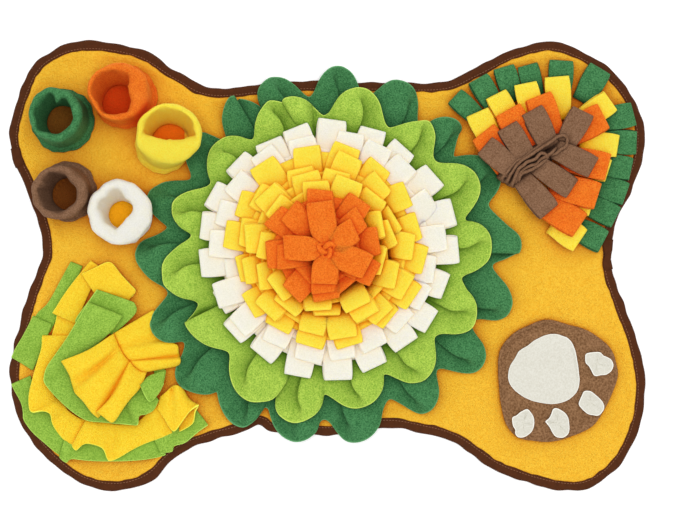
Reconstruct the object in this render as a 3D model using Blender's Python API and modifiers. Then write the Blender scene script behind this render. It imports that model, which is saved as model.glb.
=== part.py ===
"""Snuffle mat: a bone-shaped fleece mat with a layered flower, cups, a fan, leaves and a paw print.

Run with: blender --background --python part.py
Plan sizes are in millimetres, x to the right and y up the mat, and heights are above the floor.
The origin is at the middle of the mat's outline, on the floor.
"""
import math

import bmesh
import bpy
from mathutils import Vector

MM = 0.001                  # the tables are in millimetres, the model is in metres

MAT_THICKNESS = 3.0         # fleece on its backing cloth
GAP = 0.3                   # between pieces that lie on each other
DECK = MAT_THICKNESS + GAP  # height at which sewn-on pieces begin
FLEECE = 2.2                # one layer of the petals and leaves
LOOP_THICKNESS = 4.0        # a slit loop: two layers
SEAM_WIDTH = 5.0            # the sewn strip that holds a row of loops

BINDING_WIDTH = 11.0
BINDING_HEIGHT = 5.6
BINDING_TAPE = 1.0

FLOWER_CENTRE = (0.0, 17.5)

GOLD = (0.90, 0.50, 0.03)
BROWN = (0.075, 0.028, 0.012)
TAUPE = (0.22, 0.115, 0.06)
DARK_GREEN = (0.03, 0.17, 0.07)
LIGHT_GREEN = (0.32, 0.52, 0.05)
YELLOW = (0.93, 0.66, 0.05)
ORANGE = (0.87, 0.19, 0.02)
WHITE = (0.83, 0.81, 0.74)


# ---------------------------------------------------------------- helpers

def clear_scene():
    for thing in list(bpy.data.objects):
        bpy.data.objects.remove(thing)


def new_collection(name):
    collection = bpy.data.collections.new(name)
    bpy.context.scene.collection.children.link(collection)
    return collection


def fleece_material(name, colour):
    material = bpy.data.materials.new(name)
    material.use_nodes = True
    shader = material.node_tree.nodes["Principled BSDF"]
    shader.inputs["Base Color"].default_value = (*colour, 1.0)
    shader.inputs["Roughness"].default_value = 0.95
    shader.inputs["Metallic"].default_value = 0.0
    return material


def add_piece(name, mesh_builder, colour, solidify=None):
    """Make an object of the bmesh, whose points are in millimetres, with its own fleece material."""
    bmesh.ops.recalc_face_normals(mesh_builder, faces=mesh_builder.faces)
    bmesh.ops.scale(mesh_builder, vec=(MM, MM, MM), verts=mesh_builder.verts)
    mesh = bpy.data.meshes.new(name)
    mesh_builder.to_mesh(mesh)
    mesh_builder.free()
    piece = bpy.data.objects.new(name, mesh)
    mesh.materials.append(fleece_material(name + "_fleece", colour))
    MAT_PARTS.objects.link(piece)
    if solidify:
        shell = piece.modifiers.new("Thickness", "SOLIDIFY")
        shell.thickness = solidify * MM
        shell.offset = 0.0
    mesh.shade_smooth()
    mesh.set_sharp_from_angle(angle=math.radians(40))
    return piece


def join_rows(mesh_builder, rows, closed=False):
    """Fill the quads between rows of vertices; closed joins each row's end to its start."""
    count = len(rows[0])
    last = count if closed else count - 1
    for low, high in zip(rows, rows[1:]):
        for i in range(last):
            j = (i + 1) % count
            mesh_builder.faces.new((low[i], low[j], high[j], high[i]))


def add_rows(mesh_builder, point_rows):
    return [[mesh_builder.verts.new(point) for point in row] for row in point_rows]


def direction(degrees):
    angle = math.radians(degrees)
    return Vector((math.cos(angle), math.sin(angle), 0.0))


def mix(a, b, share):
    return a + (b - a) * share


def profile_height(knots, distance):
    """Read a height from (distance, height) knots, straight between them."""
    for (d0, z0), (d1, z1) in zip(knots, knots[1:]):
        if distance <= d1:
            return mix(z0, z1, max(0.0, (distance - d0) / (d1 - d0)))
    return knots[-1][1]


# ---------------------------------------------------------------- base mat and binding

# the bone's outer edge, counter-clockwise from the notch in its right end: x, y
OUTLINE = (
    (313, 2), (317, 46), (338, 89), (350, 139), (338, 183), (314, 214), (284, 235), (247, 247),
    (205, 239), (160, 217), (125, 203), (60, 203), (-40, 203), (-123, 196), (-161, 212), (-204, 238),
    (-258, 247.5), (-298, 240), (-329, 214), (-350, 150), (-344, 113), (-331, 83), (-313, 22),
    (-328, -26), (-347, -95), (-349, -130), (-338, -172), (-312, -209), (-275, -238), (-234, -247.5),
    (-195, -237), (-162, -207), (-126, -192), (-93, -183), (-75, -174), (-60, -183), (9, -186),
    (63, -178), (104, -184), (140, -195), (191, -228), (262, -247.5), (304, -236), (336, -197),
    (350, -140), (342, -84), (325, -38),
)
EDGE_STATIONS = 76
MAT_INSET = 2.4             # from the binding's outer face to the mat's cut edge
EDGE_LIFT = 1.3             # the mat's edge lies on the binding's lower leg
SLOPE_END = 17.0            # how far in from the outline the mat is down on the floor again
FLAT_FROM = 32.0            # and where the swells have ended

# soft swells that run in from the edge: plan angle seen from the middle, height
SWELLS = ((-22, 2.2), (-27, 1.6), (-48, 1.8), (9, 1.2))


def outline_stations():
    """Even stations along a smooth closed curve through OUTLINE, each with its inward normal."""
    points = [Vector((x, y, 0.0)) for x, y in OUTLINE]
    count = len(points)
    steps = 12
    curve = []
    for i in range(count):
        before, start, end, after = (points[(i + k) % count] for k in (-1, 0, 1, 2))
        for step in range(steps):
            t = step / steps
            curve.append(0.5 * (2 * start + (end - before) * t
                                + (2 * before - 5 * start + 4 * end - after) * t ** 2
                                + (3 * start - before - 3 * end + after) * t ** 3))
    lengths = [0.0]
    for a, b in zip(curve, curve[1:] + curve[:1]):
        lengths.append(lengths[-1] + (b - a).length)
    stations = []
    index = 0
    for k in range(EDGE_STATIONS):
        wanted = lengths[-1] * k / EDGE_STATIONS
        while lengths[index + 1] < wanted:
            index += 1
        share = (wanted - lengths[index]) / (lengths[index + 1] - lengths[index])
        stations.append(curve[index].lerp(curve[(index + 1) % len(curve)], share))
    low = Vector((min(p.x for p in stations), min(p.y for p in stations), 0.0))
    high = Vector((max(p.x for p in stations), max(p.y for p in stations), 0.0))
    stations = [p - (low + high) / 2 for p in stations]
    normals = []
    for k in range(EDGE_STATIONS):
        along = (stations[(k + 1) % EDGE_STATIONS] - stations[k - 1]).normalized()
        normals.append(Vector((-along.y, along.x, 0.0)))
    return stations, normals


def swell_height(point):
    bearing = math.degrees(math.atan2(point.y, point.x)) % 360
    for angle, height in SWELLS:
        turn = (bearing - angle + 180) % 360 - 180
        if abs(turn) < 2.0:
            return height
    return 0.0


def make_mat(stations, normals):
    middle = MAT_THICKNESS / 2
    edge = [p + n * MAT_INSET + Vector((0, 0, middle + EDGE_LIFT)) for p, n in zip(stations, normals)]
    under_tape = [p + n * (BINDING_WIDTH + 1) + Vector((0, 0, middle + EDGE_LIFT))
                  for p, n in zip(stations, normals)]
    slope = [p + n * SLOPE_END + Vector((0, 0, middle + swell_height(p))) for p, n in zip(stations, normals)]
    inner = [p + n * FLAT_FROM + Vector((0, 0, middle)) for p, n in zip(stations, normals)]
    mat = bmesh.new()
    rows = add_rows(mat, (edge, under_tape, slope, inner))
    join_rows(mat, rows, closed=True)
    mat.faces.new(rows[-1])
    add_piece("mat_base", mat, GOLD, solidify=MAT_THICKNESS)


def make_binding(stations, normals):
    """A tape folded round the edge: a U-section swept along the outline."""
    top = BINDING_HEIGHT
    width = BINDING_WIDTH
    tape = BINDING_TAPE
    section = ((width, 0), (1.2, 0), (0, top / 2), (1.2, top), (width, top),
               (width, top - tape), (2.0, top - tape), (2.0, tape), (width, tape))
    binding = bmesh.new()
    rings = [[binding.verts.new(p + n * inward + Vector((0, 0, z))) for inward, z in section]
             for p, n in zip(stations, normals)]
    join_rows(binding, rings + rings[:1], closed=True)
    add_piece("binding", binding, BROWN)


# ---------------------------------------------------------------- flower: rings of pleated petals

# across a petal from its clockwise side: share of the width, share of the lobe's reach, pleat
PETAL_COLUMNS = (
    (0.00, 0.00, 0.0), (0.07, 0.58, -0.3), (0.23, 0.88, -0.6), (0.455, 1.0, -1.0),
    (0.545, 1.0, 1.0), (0.77, 0.88, 0.5), (0.93, 0.58, 0.2),
)
PETAL_ROWS = (0.0, 0.14, 0.5, 0.8, 1.0)   # shares of the way from the seam to the edge

# each petal: bearing of its tip, reach of the tip, bearing and reach of the notch after it
DARK_PETALS = (
    (3, 213, 16, 183), (25, 203, 36.6, 170), (44, 201, 54.9, 172), (66.5, 202, 76.4, 178),
    (87, 203, 96.7, 171), (107, 199, 115, 173), (122.5, 198, 132.9, 168), (143, 187, 152, 166),
    (164, 200, 172.4, 176), (181.5, 211, 195.2, 181), (204.5, 209, 213.6, 188), (225, 213, 233, 195),
    (243.5, 216, 251, 186), (260, 213, 268.5, 185), (278.5, 214, 292.3, 177), (303, 210, 312.4, 177),
    (323.5, 212, 333, 182), (343, 211, 354, 181),
)
LIGHT_PETALS = (
    (0.5, 180, 12.3, 153), (25.5, 182, 39.6, 152), (50, 178, 63.4, 149), (78.8, 181, 90.6, 146),
    (99, 169, 106, 160), (112, 172, 124, 145), (137, 167, 151.2, 146), (164, 177, 173.9, 149),
    (187.5, 183, 202, 153), (212, 177, 226.5, 155), (241.5, 185, 250.4, 168), (259, 190, 268.1, 158),
    (279.5, 178, 294.1, 149), (306.5, 178, 320.9, 151), (335.5, 179, 347.8, 149),
)
# heights of the cloth's middle, and how much of the pleat shows, by distance from the flower's centre
DARK_HEIGHTS = ((118, 4.5), (122, 5.4), (132, 8.6), (150, 10.6), (175, 12.0), (215, 12.2))
DARK_PLEAT = ((125, 0.0), (150, 0.2), (175, 0.5), (190, 1.0), (200, 0.9), (216, 0.45))
LIGHT_HEIGHTS = ((107, 4.5), (110, 7.0), (117, 14.0), (130, 17.0), (150, 18.4), (192, 19.2))
LIGHT_PLEAT = ((116, 0.0), (130, 0.25), (143, 0.5), (157, 1.0), (168, 0.8), (185, 0.35))
PLEAT_RISE = 5.0
PLEAT_DIP = 2.6


def make_petals(name, petals, root, heights, pleat_shares, colour):
    centre = Vector((*FLOWER_CENTRE, 0.0))
    columns = []
    for i, (tip_bearing, tip_reach, notch_bearing, notch_reach) in enumerate(petals):
        before = petals[i - 1]
        start = before[2] - (360 if before[2] > tip_bearing else 0)
        for share, lobe, pleat in PETAL_COLUMNS:
            if share < 0.5:
                bearing = mix(start, tip_bearing, share / 0.5)
                edge = mix(before[3], tip_reach, lobe)
            else:
                bearing = mix(tip_bearing, notch_bearing, (share - 0.5) / 0.5)
                edge = mix(notch_reach, tip_reach, lobe)
            column = []
            for row in PETAL_ROWS:
                reach = mix(root, edge, row)
                lift = pleat * (PLEAT_RISE if pleat > 0 else PLEAT_DIP) * profile_height(pleat_shares, reach)
                height = profile_height(heights, reach) + lift
                column.append(centre + direction(bearing) * reach + Vector((0, 0, height)))
            columns.append(column)
    ring = bmesh.new()
    rows = add_rows(ring, [list(row) for row in zip(*columns)])
    join_rows(ring, rows, closed=True)
    add_piece(name, ring, colour, solidify=FLEECE)


# ---------------------------------------------------------------- rows of slit loops

# the loop's path from its seam: share of the lean, share of the rise; the last is its tip
BEND_RUN = (1.5, 9.0)
BEND_RISE = (0.6, 0.9)


def make_loops(name, loops, seam_top, colour, closed):
    """A sewn strip with a row of loops growing out of its top.

    Each loop is (root, along, root_width, tip, heading, width, tip_height): the middle of its root on
    the seam, the seam's direction there, and the loop's tip. The strip is a bar of four-sided
    sections, two a loop, and each loop is drawn out of the strip's top face between its two sections.
    """
    strip = bmesh.new()
    sections = []
    for root, along, root_width, tip, heading, width, tip_height in loops:
        outward = Vector((along.y, -along.x, 0.0)) * SEAM_WIDTH / 2
        if outward.dot(tip - root) < 0:
            outward = -outward
        for side in (-0.5, 0.5):
            point = root + along * root_width * side
            sections.append([strip.verts.new(point - outward + Vector((0, 0, DECK))),
                             strip.verts.new(point - outward + Vector((0, 0, seam_top))),
                             strip.verts.new(point + outward + Vector((0, 0, seam_top))),
                             strip.verts.new(point + outward + Vector((0, 0, DECK)))])
    pairs = list(zip(sections, sections[1:]))
    if closed:
        pairs.append((sections[-1], sections[0]))
    else:
        strip.faces.new(sections[0])
        strip.faces.new(sections[-1])
    for number, (left, right) in enumerate(pairs):
        for k in range(4):
            m = (k + 1) % 4
            if k == 1 and number % 2 == 0:
                draw_loop(strip, left, right, loops[number // 2], seam_top)
            else:
                strip.faces.new((left[k], left[m], right[m], right[k]))
    add_piece(name, strip, colour)


def draw_loop(strip, left, right, loop, seam_top):
    """Draw one loop from the strip's top edge: up, over, and out to its tip."""
    root, along, root_width, tip, heading, width, tip_height = loop
    lean = Vector((tip.x - root.x, tip.y - root.y, 0.0))
    run = lean.length
    lean.normalize()
    rise = tip_height - seam_top
    path = [(0.0, seam_top)]
    path += [(step, seam_top + rise * share) for step, share in zip(BEND_RUN, BEND_RISE)]
    path += [(run, tip_height)]
    tip_along = Vector((heading.y, -heading.x, 0.0))
    if tip_along.dot(along) < 0:
        tip_along = -tip_along
    previous = [left[1], left[2], right[2], right[1]]
    for (x0, z0), (x1, z1), (x2, z2) in zip(path, path[1:], path[2:] + path[-1:]):
        share = x1 / run
        half = (along * root_width).lerp(tip_along * width, min(1.0, share * 2.0)) / 2
        slope = Vector((x2 - x0, z2 - z0)).normalized()
        back = (Vector((0, 0, slope.x)) - lean * slope.y) * LOOP_THICKNESS / 2
        middle = root + lean * x1 + Vector((0, 0, z1))
        corners = [strip.verts.new(middle + offset) for offset in
                   (back - half, -back - half, -back + half, back + half)]
        for k in range(4):
            m = (k + 1) % 4
            strip.faces.new((previous[k], previous[m], corners[m], corners[k]))
        previous = corners
    strip.faces.new(previous)


# rings of the flower: seam radius, tip height, loop width, then bearing, reach and turn of each tip
FLOWER_RINGS = {
    "loops_white_1": (97, 26.0, 31, WHITE, (
        (0, 142, 2), (17, 143, -3), (35, 142, 4), (53, 139, -2), (69, 140, 3), (87.5, 141, -3),
        (104.5, 137, 5), (118.5, 134, -3), (135.6, 138, 2), (153.7, 140, -4), (169, 139, 3),
        (186, 138, -2), (206, 130, 4), (221.6, 137, 0), (238, 135, -5), (256.7, 140, 2), (275, 141, -2),
        (292, 137, 3), (310, 134, -3), (325.4, 137, 4), (342.7, 134, -2))),
    "loops_white_2": (87, 31.0, 30, WHITE, (
        (6.3, 129, 3), (25.8, 126, 14), (47.6, 128, -4), (63.2, 127, -2), (78.1, 129, 0), (103.2, 124, 3),
        (123.9, 128, 4), (143.5, 127, -3), (160.5, 125, 2), (176.5, 127, -2), (202.4, 130, -8),
        (220.7, 128, 2), (240.5, 117, 3), (260, 122, -4), (278.4, 119, 2), (296.4, 118, -2),
        (316.5, 116, 3), (333.5, 119, -2), (349.5, 118, 4))),
    "loops_yellow_1": (77, 36.0, 31, YELLOW, (
        (15, 102, 5), (34.9, 106, -13), (57.7, 108, -5), (78.9, 114, -12), (101.5, 113, -6),
        (127.2, 117, -3), (151.9, 108, 13), (171, 111, -2), (192.4, 98, 0), (215.7, 104, -6),
        (237.8, 100, 7), (259.2, 105, -5), (283.8, 106, 2), (312.6, 101, 6), (330.8, 107, -2),
        (353.5, 106, -9))),
    "loops_yellow_2": (67, 40.5, 31, YELLOW, (
        (1.6, 93, -11), (25.5, 81, 7), (50.9, 95, -8), (75.9, 104, -13), (108.7, 92, -7), (142, 97, 11),
        (168, 95, 2), (194.6, 92, -2), (224.9, 94, 1), (259.1, 91, -3), (280.7, 96, 1), (310.7, 94, 5),
        (334.5, 96, -3))),
    "loops_yellow_3": (57, 45.0, 31, YELLOW, (
        (15.7, 73, 7), (48, 79, 3), (82.3, 85, -6), (106, 85, -2), (137.2, 91, -2), (172.3, 88, 11),
        (201.7, 79, -11), (234.3, 77, -4), (270.5, 70, 1), (301.2, 84, 0), (339.2, 80, 7))),
    "loops_yellow_4": (47, 49.5, 31, YELLOW, (
        (25.3, 66, -15), (71.8, 79, -5), (99.5, 74, -3), (139.5, 75, 0), (175.5, 73, -6), (218, 70, 1),
        (262.3, 65, 14), (298.8, 70, -5), (348, 62, -4))),
    "loops_orange_1": (37, 53.5, 30, ORANGE, (
        (10.7, 56, 0), (55.8, 64, -3), (96.8, 64, -11), (147, 68, -9), (185.4, 64, 2), (231.5, 60, -9),
        (270.2, 53, 9), (332.4, 58, 3))),
    "loops_orange_2": (26, 57.5, 27, ORANGE, (
        (43.7, 51, -14), (99, 51, -4), (134, 58, 9), (188.6, 53, -7), (265, 46, 9), (337, 46, -3))),
    "loops_orange_3": (15, 61.5, 26, ORANGE, (
        (36.4, 36, -14), (176.8, 45, 9), (265.5, 35, 9))),
}
RING_SEAM_TOP = 8.0
ROOT_TURN = 0.4             # how far a turned loop's root slides along the seam
ROOT_SHARE = 0.46           # share of the seam between neighbours that a root may take
ROOT_NARROWING = 0.84       # a loop's root is this much narrower than its tip


def make_flower_ring(name, seam_radius, tip_height, width, colour, tips):
    centre = Vector((*FLOWER_CENTRE, 0.0))
    bearings = [bearing - turn * ROOT_TURN for bearing, reach, turn in tips]
    loops = []
    for i, (bearing, reach, turn) in enumerate(tips):
        after = (bearings[(i + 1) % len(tips)] - bearings[i]) % 360
        before = (bearings[i] - bearings[i - 1]) % 360
        room = math.radians(min(after, before)) * seam_radius
        root_width = min(width * ROOT_NARROWING, 2 * ROOT_SHARE * room)
        root = centre + direction(bearings[i]) * seam_radius
        tip = centre + direction(bearing) * reach
        loops.append((root, direction(bearings[i] + 90), root_width, tip, direction(bearing + turn),
                      width, tip_height))
    make_loops(name, loops, RING_SEAM_TOP, colour, closed=True)


# the knot's outer form, gathered cloth: radius, height
KNOT_PROFILE = ((0, DECK), (6, DECK), (7, 30), (8.5, 48), (12.5, 56), (12, 61), (6, 64), (0, 63))
KNOT_STEPS = 10


def make_knot():
    knot = bmesh.new()
    points = [knot.verts.new((radius, 0.0, height)) for radius, height in KNOT_PROFILE]
    edges = [knot.edges.new(pair) for pair in zip(points, points[1:])]
    bmesh.ops.spin(knot, geom=points + edges, axis=(0, 0, 1), cent=(0, 0, 0), angle=math.tau,
                   steps=KNOT_STEPS, use_duplicate=False, use_merge=True)
    bmesh.ops.remove_doubles(knot, verts=knot.verts, dist=0.01)
    for vert in knot.verts:
        bearing = math.atan2(vert.co.y, vert.co.x)
        lump = 1.0 + 0.12 * math.sin(5 * bearing)
        vert.co.x *= lump
        vert.co.y *= lump
    bmesh.ops.translate(knot, vec=(*FLOWER_CENTRE, 0.0), verts=knot.verts)
    add_piece("flower_knot", knot, ORANGE)


# ---------------------------------------------------------------- cups

CUP_SIDES = 20
# each cup: base centre and radius, rim centre and radii, mouth centre and radii, mouth's turn, height
CUPS = {
    "cup_green": ((-289.5, 159.5), 30, (-290, 159), (30, 31), (-289, 159), (18, 18.5), 0, 48, DARK_GREEN),
    "cup_orange": ((-222, 186), 30.5, (-224, 187), (32, 29.5), (-228, 186), (18, 20), 20, 52, ORANGE),
    "cup_yellow": ((-183, 141), 26, (-170, 142.5), (34, 31), (-171, 148), (25, 16), -8, 50, YELLOW),
    "cup_brown": ((-284, 84), 27, (-285.5, 80.5), (31, 29), (-286, 80.5), (20.5, 20), 0, 48, TAUPE),
    "cup_white": ((-230, 57), 27, (-224, 57.5), (34, 34.5), (-223, 60), (13, 18), -20, 42, WHITE),
}
CUP_WALL = 8.0


def ellipse(centre, radii, turn, height):
    points = []
    spin = math.radians(turn)
    for i in range(CUP_SIDES):
        angle = math.tau * i / CUP_SIDES
        across = radii[0] * math.cos(angle - spin)
        up = radii[1] * math.sin(angle - spin)
        points.append(Vector((centre[0] + across * math.cos(spin) - up * math.sin(spin),
                              centre[1] + across * math.sin(spin) + up * math.cos(spin), height)))
    return points


def make_cup(name, base, base_radius, rim, rim_radii, mouth, mouth_radii, turn, height, colour):
    def between(share):
        return (mix(base[0], rim[0], share), mix(base[1], rim[1], share))

    top = DECK + height
    belly = (mix(base_radius, rim_radii[0], 0.4) + 1, mix(base_radius, rim_radii[1], 0.4) + 1)
    shoulder = (rim_radii[0] - 2.5, rim_radii[1] - 2.5)
    crown = ((mix(rim[0], mouth[0], 0.6)), mix(rim[1], mouth[1], 0.6))
    crown_radii = (mix(rim_radii[0], mouth_radii[0], 0.6), mix(rim_radii[1], mouth_radii[1], 0.6))
    inside = base_radius - CUP_WALL
    cup = bmesh.new()
    rings = add_rows(cup, (
        ellipse(base, (inside, inside), 0, DECK),
        ellipse(base, (base_radius, base_radius), 0, DECK),
        ellipse(between(0.4), belly, 0, DECK + height * 0.4),
        ellipse(rim, rim_radii, 0, DECK + height * 0.8),
        ellipse(rim, shoulder, 0, top - 1.5),
        ellipse(crown, crown_radii, turn * 0.5, top),
        ellipse(mouth, mouth_radii, turn, top - 6),
    ))
    join_rows(cup, rings + rings[:1], closed=True)
    add_piece(name, cup, colour)


# ---------------------------------------------------------------- fan of slit strips

FAN_SEAM_TOP = 5.5
FAN_ROOT_NARROWING = 0.7
# each strip: tip height, loop width, then each loop's tip x and y, heading and reach from the seam
FAN_STRIPS = {
    "fan_green": (11.0, 24, DARK_GREEN, (
        (140, 186, 137, 38), (165.5, 205.5, 120, 38), (193.5, 218, 107, 38), (219, 220, 104, 38),
        (256.5, 225, 88, 40), (299, 216, 60, 40), (335, 166.5, 12, 38), (338, 133, 357, 38),
        (332.5, 105, 351, 38), (327, 76, 342, 38), (316, 51.5, 335, 38), (302.5, 27, 332, 38))),
    "fan_yellow": (16.5, 25, YELLOW, (
        (163.5, 167.5, 117, 34), (184.5, 187.5, 119, 34), (216, 199, 104, 34), (250.5, 206.5, 95, 36),
        (309.5, 180, 34, 32), (317, 131, 353, 32), (306.5, 104, 345, 28), (289, 66.5, 340, 24),
        (278, 29, 336, 24))),
    "fan_orange": (22.0, 25, ORANGE, (
        (168.5, 145, 135, 36), (196, 170, 120, 36), (230.5, 184.5, 115, 36), (300.5, 164, 29, 32),
        (306, 107.5, 345, 36), (293, 76.5, 342, 38), (276, 45, 325, 36))),
    "fan_brown": (27.5, 25, TAUPE, (
        (171.5, 130.5, 139, 32), (195.5, 151.5, 119, 34), (222.5, 169, 119, 35), (278, 167.5, 61, 33),
        (288, 106.5, 333, 28), (265, 83.5, 325, 26), (241, 59.5, 310, 28))),
}


def make_fan_strip(name, tip_height, width, colour, tips):
    loops = []
    for x, y, heading, reach in tips:
        tip = Vector((x, y, 0.0))
        root = tip - direction(heading) * reach
        loops.append((root, direction(heading - 90), width * FAN_ROOT_NARROWING, tip, direction(heading),
                      width, tip_height))
    make_loops(name, loops, FAN_SEAM_TOP, colour, closed=False)


# the gathered ridge over the fan's seam: x, y, half width, height, sideways wave of its top
FAN_RIDGE = (
    (203, 93, 4.5, 25, 0), (211, 99, 5.5, 29, 2), (219, 105, 5.0, 28, -2), (228, 111, 6.0, 30, 2),
    (236, 117, 5.0, 29, -2), (245, 124, 6.5, 31, 1), (251, 128, 4.0, 29, 0),
)


def make_fan_ridge():
    along = direction(37)
    across = direction(127)
    ridge = bmesh.new()
    rings = []
    for x, y, half, height, wave in FAN_RIDGE:
        middle = Vector((x, y, 0.0))
        corners = ((-half * 0.7, DECK), (-half, height * 0.7), (-half * 0.6 + wave, height),
                   (half * 0.6 + wave, height), (half, height * 0.7), (half * 0.7, DECK))
        rings.append([ridge.verts.new(middle + across * side + Vector((0, 0, z))) for side, z in corners])
    join_rows(ridge, rings, closed=True)
    for ring, lean in ((rings[0], -1.5), (rings[-1], 1.5)):
        ridge.faces.new(ring)
        for vert in ring[2:4]:
            vert.co += along * lean
    add_piece("fan_ridge", ridge, TAUPE)


# ---------------------------------------------------------------- heap of pleated leaves

# each leaf is a sheet between two lines: inner x, y, z and outer x, y, z, a row for each fold
LEAVES = {
    "leaf_green_strip": (LIGHT_GREEN, (0.0, 0.5, 1.0), (
        (-267, -2, 4.6, -280, 5, 5.0), (-276, -21, 4.6, -292, -15, 5.2),
        (-287, -39, 4.6, -308, -42, 5.4),
        (-295, -57, 5.4, -322, -56, 7.6), (-303, -75, 4.8, -331, -70, 7.4),
        (-309, -94, 4.8, -339, -86, 8.6),
        (-320, -113, 5.2, -345, -99, 9.6))),
    "leaf_green_low": (LIGHT_GREEN, (0.0, 0.4, 1.0), (
        (-310, -131, 4.8, -345, -128, 9.6), (-304, -143, 4.8, -338, -146, 8.4),
        (-297, -153, 4.8, -334, -163, 9.0),
        (-290, -163, 4.8, -325, -181, 8.2), (-281, -171, 4.8, -308, -198, 8.8),
        (-271, -177, 4.8, -292, -211, 9.2),
        (-254, -180, 4.8, -265, -213, 7.0), (-237, -180, 4.8, -240, -213, 6.6),
        (-221, -178, 4.8, -210, -212, 7.0),
        (-206, -173, 4.8, -183, -207, 8.8), (-195, -166, 4.8, -169, -201, 9.4),
        (-184, -160, 4.8, -154, -189, 7.6),
        (-172, -154, 4.8, -139, -180, 7.0), (-160, -150, 4.8, -129, -172, 6.8))),
    "leaf_yellow_low": (YELLOW, (0.0, 0.35, 0.7, 1.0), (
        (-250, 0, 6.6, -259, 5, 8.4), (-261, -18, 4.6, -278, -15, 9.0),
        (-270, -37, 4.6, -292, -37, 10.0),
        (-277, -53, 4.6, -302, -52, 11.0), (-281, -75, 4.6, -311, -76, 11.6),
        (-283, -94, 4.6, -316, -103, 12.6),
        (-286, -111, 4.6, -323, -124, 13.4), (-286, -124, 4.6, -327, -141, 14.0),
        (-284, -135, 4.6, -325, -162, 16.5),
        (-277, -144, 4.6, -303, -164, 13.0), (-270, -152, 4.6, -299, -177, 12.6),
        (-265, -157, 4.6, -290, -191, 13.4),
        (-257, -160, 4.6, -278, -198, 12.6), (-252, -163, 4.6, -273, -203, 16.5),
        (-246, -165, 4.6, -264, -195, 12.6),
        (-239, -166, 4.6, -252, -198, 13.0), (-232, -166, 4.6, -243, -202, 12.6),
        (-225, -165, 4.6, -239, -213, 15.0),
        (-216, -161, 4.6, -220, -206, 12.8), (-205, -155, 4.6, -194, -192, 12.4),
        (-194, -146, 4.6, -170, -183, 12.2))),
    "leaf_yellow_tab": (YELLOW, (0.0, 0.5, 1.0), (
        (-227, -40, 4.6, -267, -9, 13.0), (-220, -30, 4.5, -252, -2, 12.6),
        (-212, -18, 4.8, -237, 5, 9.0))),
    "leaf_green_mid": (LIGHT_GREEN, (0.0, 0.35, 0.7, 1.0), (
        (-229, -68, 4.6, -218, -59, 9.0), (-232, -66, 4.6, -208, -46, 13.0),
        (-237, -66, 4.6, -214, -38, 14.0),
        (-243, -68, 4.6, -234, -33, 16.0), (-248, -72, 4.6, -250, -25, 18.0),
        (-252, -77, 4.6, -263, -38, 17.0),
        (-255, -83, 4.6, -276, -57, 17.5), (-256, -89, 4.6, -289, -79, 18.0),
        (-257, -95, 4.6, -301, -100, 19.0),
        (-256, -102, 4.6, -309, -120, 20.0), (-254, -109, 4.6, -306, -134, 18.5),
        (-251, -115, 4.6, -292, -148, 19.0),
        (-247, -121, 4.6, -272, -166, 20.0), (-241, -127, 4.6, -248, -171, 18.0),
        (-234, -131, 4.6, -229, -174, 17.0))),
    "leaf_green_end": (LIGHT_GREEN, (0.0, 0.5, 1.0), (
        (-198, -122, 4.8, -178, -117, 12.0), (-203, -129, 4.6, -182, -135, 17.5),
        (-209, -136, 4.6, -187, -151, 18.0),
        (-216, -143, 4.6, -201, -164, 16.0), (-223, -150, 4.6, -211, -176, 17.0))),
    "leaf_yellow_end": (YELLOW, (0.0, 0.5, 1.0), (
        (-188, -150, 9.8, -167, -185, 15.2), (-182, -143, 8.4, -158, -175, 12.4),
        (-175, -136, 6.2, -149, -164, 14.8),
        (-165, -134, 4.5, -141, -157, 12.4))),
}
# the top leaf crosses its seam: left x, y, z; seam x, y; right x, y, z, a row for each pleat's edge
TOP_LEAF = (
    (-262, -87, 24.0, -235, -74, -194, -52, 5.0), (-292, -104, 25.0, -230, -80, -193, -61, 5.2),
    (-282, -124, 21.0, -225, -87, -191, -72, 5.0), (-272, -141, 25.5, -220, -94, -168, -82, 8.5),
    (-260, -156, 21.0, -215, -101, -167, -92, 6.0), (-248, -167, 24.5, -210, -107, -166, -103, 9.0),
    (-233, -173, 22.0, -206, -113, -169, -111, 6.0), (-206, -133, 19.0, -201, -118, -186, -115, 8.0),
)
TOP_SEAM_HEIGHT = 8.2
LEAF_BULGE = 0.78           # a leaf has risen by this share at its first fold


def leaf_height(inner, outer, share):
    """Leaves rise quickly from their seam and then lie out."""
    return mix(inner, outer, 1.0 - (1.0 - share) ** (1.0 / (1.0 - LEAF_BULGE) ** 0.5))


def make_leaf(name, colour, shares, folds):
    leaf = bmesh.new()
    rows = []
    for share in shares:
        rows.append([(mix(x0, x1, share), mix(y0, y1, share), leaf_height(z0, z1, share))
                     for x0, y0, z0, x1, y1, z1 in folds])
    join_rows(leaf, add_rows(leaf, rows))
    add_piece(name, leaf, colour, solidify=FLEECE)


def make_top_leaf():
    rows = [[] for _ in range(7)]
    for number, (lx, ly, lz, sx, sy, rx, ry, rz) in enumerate(TOP_LEAF):
        pleat = 1.4 if number % 2 else -1.4
        left = ((1.0, lz), (0.6, lz * 0.92 + pleat), (0.25, mix(TOP_SEAM_HEIGHT, lz, 0.55) + pleat))
        right = ((0.3, mix(TOP_SEAM_HEIGHT, 14.0, 0.7)), (0.65, 10.0 + rz * 0.3), (1.0, rz))
        for row, (share, z) in enumerate(left):
            rows[row].append((mix(sx, lx, share), mix(sy, ly, share), z))
        rows[3].append((sx, sy, TOP_SEAM_HEIGHT))
        for row, (share, z) in enumerate(right):
            rows[4 + row].append((mix(sx, rx, share), mix(sy, ry, share), z))
    leaf = bmesh.new()
    join_rows(leaf, add_rows(leaf, rows))
    add_piece("leaf_yellow_top", leaf, YELLOW, solidify=FLEECE)


# ---------------------------------------------------------------- paw print

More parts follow.
